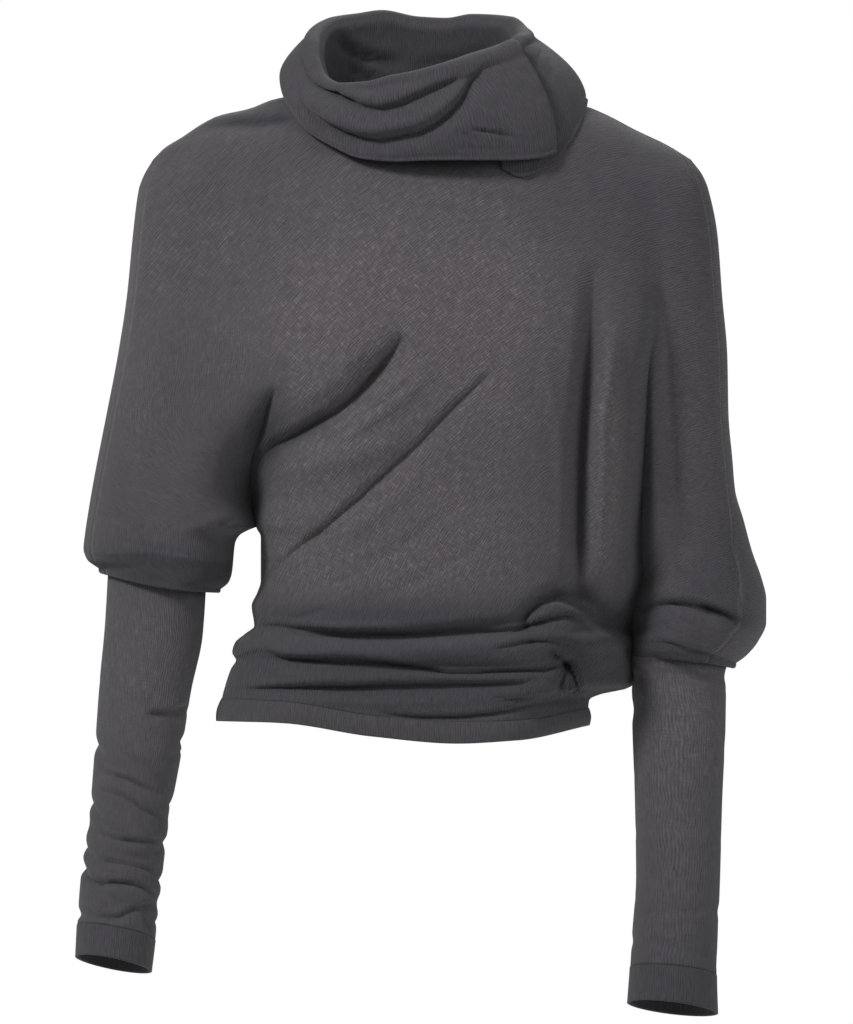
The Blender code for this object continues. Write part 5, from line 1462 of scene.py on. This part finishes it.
def calculated(tree, operation, first, second=None, third=None, clamp=False):
    """A Math node, whose inputs are sockets or numbers."""
    node = tree.nodes.new("ShaderNodeMath")
    node.operation = operation
    node.use_clamp = clamp
    for socket, value in zip(node.inputs, (first, second, third)):
        if value is None:
            continue
        if isinstance(value, (int, float)):
            socket.default_value = value
        else:
            tree.links.new(value, socket)
    return node.outputs[0]


def fine_noise(tree, vector, scale, detail, rough):
    """A noise between 0 and 1."""
    node = tree.nodes.new("ShaderNodeTexNoise")
    node.inputs["Scale"].default_value = scale
    node.inputs["Detail"].default_value = detail
    node.inputs["Roughness"].default_value = rough
    tree.links.new(vector, node.inputs["Vector"])
    return node.outputs["Fac"]


def vector_of(tree, x, y):
    """A vector of two sockets and 0."""
    node = tree.nodes.new("ShaderNodeCombineXYZ")
    tree.links.new(x, node.inputs["X"])
    tree.links.new(y, node.inputs["Y"])
    return node.outputs[0]


# Sockets of a Mix node for each kind of value: first, second and result
MIX_SOCKETS = {"RGBA": (6, 7, 2), "FLOAT": (2, 3, 0)}


def mixed(tree, kind, share, first, second):
    """first where share is 0, second where it is 1."""
    node = tree.nodes.new("ShaderNodeMix")
    node.data_type = kind
    first_at, second_at, result_at = MIX_SOCKETS[kind]
    tree.links.new(share, node.inputs["Factor"])
    tree.links.new(first, node.inputs[first_at])
    tree.links.new(second, node.inputs[second_at])
    return node.outputs[result_at]


print("groups so far:", len(bpy.data.node_groups))


# %% Group: crinkled rib, from the ways across and down the cloth
# Each noise: scale across the ribs, scale along them, detail, roughness
DRIFT_NOISE = (0.05, 0.05, 2, 0.5)
SWELLING_NOISE = (0.55, 0.11, 2, 0.6)
PUCKER_NOISE = (0.5, 0.5, 2, 0.6)
SLUB_NOISE = (0.7, 0.1, 3, 0.7)
WEFT_NOISE = (0.11, 0.75, 3, 0.7)
DRIFT_WAY = 6.0
RIB_SWELL = 2.4
RIB_PLAIN = 0.75
RIB_HEIGHT = 0.55
PUCKER_HEIGHT = 2.4
SLUB_HEIGHT = 1.5


def crinkle_rib_group():
    """Side and Along are the ways across and along the ribs in millimetres."""
    group, given, result = new_group(
        "crinkle_rib",
        [("Side", "NodeSocketFloat", 0.0), ("Along", "NodeSocketFloat", 0.0),
         ("Rib width", "NodeSocketFloat", 1.8), ("Pucker", "NodeSocketFloat", 0.5)],
        [("Height", "NodeSocketFloat"), ("Valley", "NodeSocketFloat"), ("Slub", "NodeSocketFloat"),
         ("Weft", "NodeSocketFloat")])
    side, along = given.outputs["Side"], given.outputs["Along"]

    def stretched_noise(across_scale, along_scale, detail, rough):
        """A noise round 0 that is drawn out along one of the ways."""
        place = vector_of(group, calculated(group, "MULTIPLY", side, across_scale),
                          calculated(group, "MULTIPLY", along, along_scale))
        return calculated(group, "SUBTRACT", fine_noise(group, place, 1.0, detail, rough), 0.5)

    drift, swelling, pucker, slub, weft = (
        stretched_noise(*shape)
        for shape in (DRIFT_NOISE, SWELLING_NOISE, PUCKER_NOISE, SLUB_NOISE, WEFT_NOISE))
    bent = calculated(group, "MULTIPLY_ADD", drift, DRIFT_WAY, side)
    turn = calculated(group, "DIVIDE", bent, given.outputs["Rib width"])
    rib = calculated(group, "SINE", calculated(group, "MULTIPLY", turn, 2 * math.pi))
    # Each rib swells and thins along its way
    size = calculated(group, "MULTIPLY_ADD", swelling, RIB_SWELL, RIB_PLAIN)
    rib = calculated(group, "MULTIPLY", rib, size)
    height = calculated(group, "MULTIPLY", rib, RIB_HEIGHT)
    rise = calculated(group, "MULTIPLY", given.outputs["Pucker"], PUCKER_HEIGHT)
    height = calculated(group, "ADD", height, calculated(group, "MULTIPLY", pucker, rise))
    height = calculated(group, "MULTIPLY_ADD", slub, SLUB_HEIGHT, height)
    valley = calculated(group, "MULTIPLY_ADD", rib, -0.5, 0.5)
    for label, source in (("Height", height), ("Valley", valley), ("Slub", slub), ("Weft", weft)):
        group.links.new(source, result.inputs[label])
    return group


crinkle_rib = crinkle_rib_group()
print("crinkle rib:", len(crinkle_rib.nodes), "nodes")


# %% Group: tone of the jersey as worn, with painted light and shade
MID_GREY = (0.5, 0.5, 0.5, 1)
# Each noise: scale, detail, roughness
PATCH_NOISE = (0.035, 3, 0.55)
MOTTLE_NOISE = (0.13, 4, 0.65)
PATCH_AMOUNT = 0.7
MOTTLE_AMOUNT = 0.6
DRIFT_AMOUNT = 0.55
DOUBLED_LOOSE = 0.45
GLINT_FROM = 0.04
GLINT_GAIN = 1.7
BARE_GAIN = 2.0
BARE_FROM = 0.95
PLAIN_SHADE = 1.2
VALLEY_SHADE = -0.36
SLUB_SHADE = 1.1
CROSSING_SHADE = 0.85
SEAM_SHADE = -0.3
DOUBLED_SHADE = -0.28
DARKEST = 0.25
PLAIN_ROUGH = 0.9
GLINT_ROUGH = -0.12


def jersey_tone_and_light_group():
    """Stretch runs from 0 in loose cloth to 1 in stretched cloth. The mark of cloth that lies double,
    which also carries painted shade, darkens. Seam darkens a groove and lightens where a highlight is
    painted. The group also paints glints on threads and shade in the rib valleys.
    """
    group, given, result = new_group(
        "jersey_tone_and_light",
        [("Stretch", "NodeSocketFloat", 0.4), ("Doubled", "NodeSocketFloat", 0.0),
         ("Slub", "NodeSocketFloat", 0.0), ("Weft", "NodeSocketFloat", 0.0),
         ("Valley", "NodeSocketFloat", 0.0), ("Seam", "NodeSocketFloat", 0.0),
         ("Across", "NodeSocketFloat", 0.0), ("Down", "NodeSocketFloat", 0.0),
         ("Loose", "NodeSocketColor", MID_GREY), ("Stretched", "NodeSocketColor", MID_GREY),
         ("Thread glint", "NodeSocketColor", MID_GREY)],
        [("Color", "NodeSocketColor"), ("Rough", "NodeSocketFloat")])
    place = vector_of(group, given.outputs["Across"], given.outputs["Down"])
    patch = calculated(group, "MULTIPLY_ADD", fine_noise(group, place, *PATCH_NOISE),
                       PATCH_AMOUNT, -PATCH_AMOUNT / 2)
    mottle = calculated(group, "MULTIPLY_ADD", fine_noise(group, place, *MOTTLE_NOISE),
                        MOTTLE_AMOUNT, -MOTTLE_AMOUNT / 2)
    drift = calculated(group, "ADD", patch, mottle)
    share = calculated(group, "MULTIPLY_ADD", drift, DRIFT_AMOUNT, given.outputs["Stretch"])
    less = calculated(group, "MULTIPLY", given.outputs["Doubled"], DOUBLED_LOOSE)
    share = calculated(group, "SUBTRACT", share, less, clamp=True)
    worn = mixed(group, "RGBA", share, given.outputs["Loose"], given.outputs["Stretched"])
    # Painted highlight: threads of both ways are made lighter, as if they catch the light, where the cloth
    # is stretched
    both = calculated(group, "ADD", given.outputs["Slub"], given.outputs["Weft"])
    bright = calculated(group, "ADD", both, -GLINT_FROM, clamp=True)
    glint = calculated(group, "MULTIPLY", bright, GLINT_GAIN)
    bare = calculated(group, "MULTIPLY_ADD", share, BARE_GAIN, -BARE_FROM, clamp=True)
    glint = calculated(group, "MULTIPLY", glint, bare, clamp=True)
    lit = mixed(group, "RGBA", glint, worn, given.outputs["Thread glint"])
    # Painted light and shade: the colour is darker in the rib valleys, where the cloth lies double and in
    # shaded hollows, lighter and darker along slubs, lighter at crossing threads of stretched cloth,
    # darker at a seam's groove and lighter where a highlight is painted along a seam
    crossing = calculated(group, "MULTIPLY", given.outputs["Weft"], share)
    shade = PLAIN_SHADE
    for source, amount in ((given.outputs["Valley"], VALLEY_SHADE),
                           (given.outputs["Slub"], SLUB_SHADE), (crossing, CROSSING_SHADE),
                           (given.outputs["Seam"], SEAM_SHADE),
                           (given.outputs["Doubled"], DOUBLED_SHADE)):
        shade = calculated(group, "MULTIPLY_ADD", source, amount, shade)
    shade = calculated(group, "MAXIMUM", shade, DARKEST)
    shaded = group.nodes.new("ShaderNodeVectorMath")
    shaded.operation = "SCALE"
    group.links.new(lit, shaded.inputs[0])
    group.links.new(shade, shaded.inputs["Scale"])
    group.links.new(shaded.outputs[0], result.inputs["Color"])
    rough = calculated(group, "MULTIPLY_ADD", glint, GLINT_ROUGH, PLAIN_ROUGH)
    group.links.new(rough, result.inputs["Rough"])
    return group


jersey_tone_and_light = jersey_tone_and_light_group()
print("worn tone:", len(jersey_tone_and_light.nodes), "nodes")


# %% Materials of the jersey
FINISH = {"Sheen Weight": 0.12, "Sheen Roughness": 0.6, "Specular IOR Level": 0.18}
# Colour of the painted glints on the threads
THREAD_GLINT = (0.2, 0.19, 0.2)


def jersey(name, loose, stretched, rib_width, pucker, arcs, relief):
    """With arcs the ribs follow the wide arcs of the body, and turn to run straight down on
    the sleeve mark. Without, they run down the piece."""
    paint = bpy.data.materials.new(name)
    paint.use_nodes = True
    tree = paint.node_tree
    shader = tree.nodes["Principled BSDF"]
    read = {}
    for mark in MARKS:
        node = tree.nodes.new("ShaderNodeAttribute")
        node.attribute_name = mark
        read[mark] = node.outputs["Fac"]
    knits = []
    ways = [("rib_side", "rib_along"), ("across", "down")]
    for side, along in ways if arcs else ways[1:]:
        rib = tree.nodes.new("ShaderNodeGroup")
        rib.node_tree = crinkle_rib
        rib.inputs["Rib width"].default_value = rib_width
        rib.inputs["Pucker"].default_value = pucker
        tree.links.new(read[side], rib.inputs["Side"])
        tree.links.new(read[along], rib.inputs["Along"])
        knits.append(rib)

    def either(output):
        """The knit of the body, turning into the knit of the sleeve."""
        if len(knits) == 1:
            return knits[0].outputs[output]
        return mixed(tree, "FLOAT", read["sleeve"], knits[0].outputs[output],
                     knits[1].outputs[output])

    look = tree.nodes.new("ShaderNodeGroup")
    look.node_tree = jersey_tone_and_light
    look.inputs["Loose"].default_value = (*loose, 1)
    look.inputs["Stretched"].default_value = (*stretched, 1)
    look.inputs["Thread glint"].default_value = (*THREAD_GLINT, 1)
    tree.links.new(read["tone"], look.inputs["Stretch"])
    for label in ("Doubled", "Seam", "Across", "Down"):
        tree.links.new(read[label.lower()], look.inputs[label])
    for label in ("Slub", "Weft", "Valley"):
        tree.links.new(either(label), look.inputs[label])
    tree.links.new(look.outputs["Color"], shader.inputs["Base Color"])
    tree.links.new(look.outputs["Rough"], shader.inputs["Roughness"])
    bump = tree.nodes.new("ShaderNodeBump")
    bump.inputs["Strength"].default_value = 1.0
    bump.inputs["Distance"].default_value = relief * MM
    tree.links.new(either("Height"), bump.inputs["Height"])
    tree.links.new(bump.outputs["Normal"], shader.inputs["Normal"])
    for label, value in FINISH.items():
        shader.inputs[label].default_value = value
    return paint


# Each jersey: loose and stretched colours, rib width, pucker, arcs and relief
JERSEYS = {
    "body_jersey": ((0.056, 0.054, 0.063), (0.096, 0.086, 0.093), 1.8, 0.4, True, 0.27),
    "collar_jersey": ((0.047, 0.045, 0.053), (0.085, 0.079, 0.088), 1.9, 0.45, False, 0.25),
    "sleeve_rib": ((0.056, 0.054, 0.062), (0.096, 0.09, 0.098), 1.8, 0.4, False, 0.25),
    "band_rib": ((0.054, 0.052, 0.06), (0.092, 0.086, 0.094), 1.8, 0.3, False, 0.28),
}
paints = {name: jersey(name, *look) for name, look in JERSEYS.items()}
print("materials:", list(paints))

# %% [markdown]
# ## Each piece in the frame
# Each piece stands for one solid, which it hides, rides on the single body and gets its
# finish. Each is a sheet of cloth, and the table also gives the flat size it was cut to: a
# tube's width is the way all round it.

# %% Which solid each piece stands for, and its cut: width, length and flat area
CUTS = {
    "front_cloth": ("front_panel", "body_jersey", (0.62, 0.52), 0.27),
    "back_cloth": ("back_panel", "body_jersey", (0.72, 0.52), 0.31),
    "collar_cloth": ("collar", "collar_jersey", (0.58, 0.16), None),
    "lower_sleeve_right_cloth": ("lower_sleeve_right", "sleeve_rib", (0.22, 0.285), None),
    "lower_sleeve_left_cloth": ("lower_sleeve_left", "sleeve_rib", (0.22, 0.245), None),
    "cuff_right_cloth": ("cuff_right", "band_rib", (0.19, 0.025), None),
    "cuff_left_cloth": ("cuff_left", "band_rib", (0.21, 0.03), None),
    "hem_band_cloth": ("hem_band", "band_rib", (0.78, 0.017), None),
}
for name, (node, slot, flat, area) in CUTS.items():
    piece = pieces[name]
    piece.data.materials.append(paints[slot])
    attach(piece, "root")
    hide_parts(node)
print("declared:", len(CUTS))
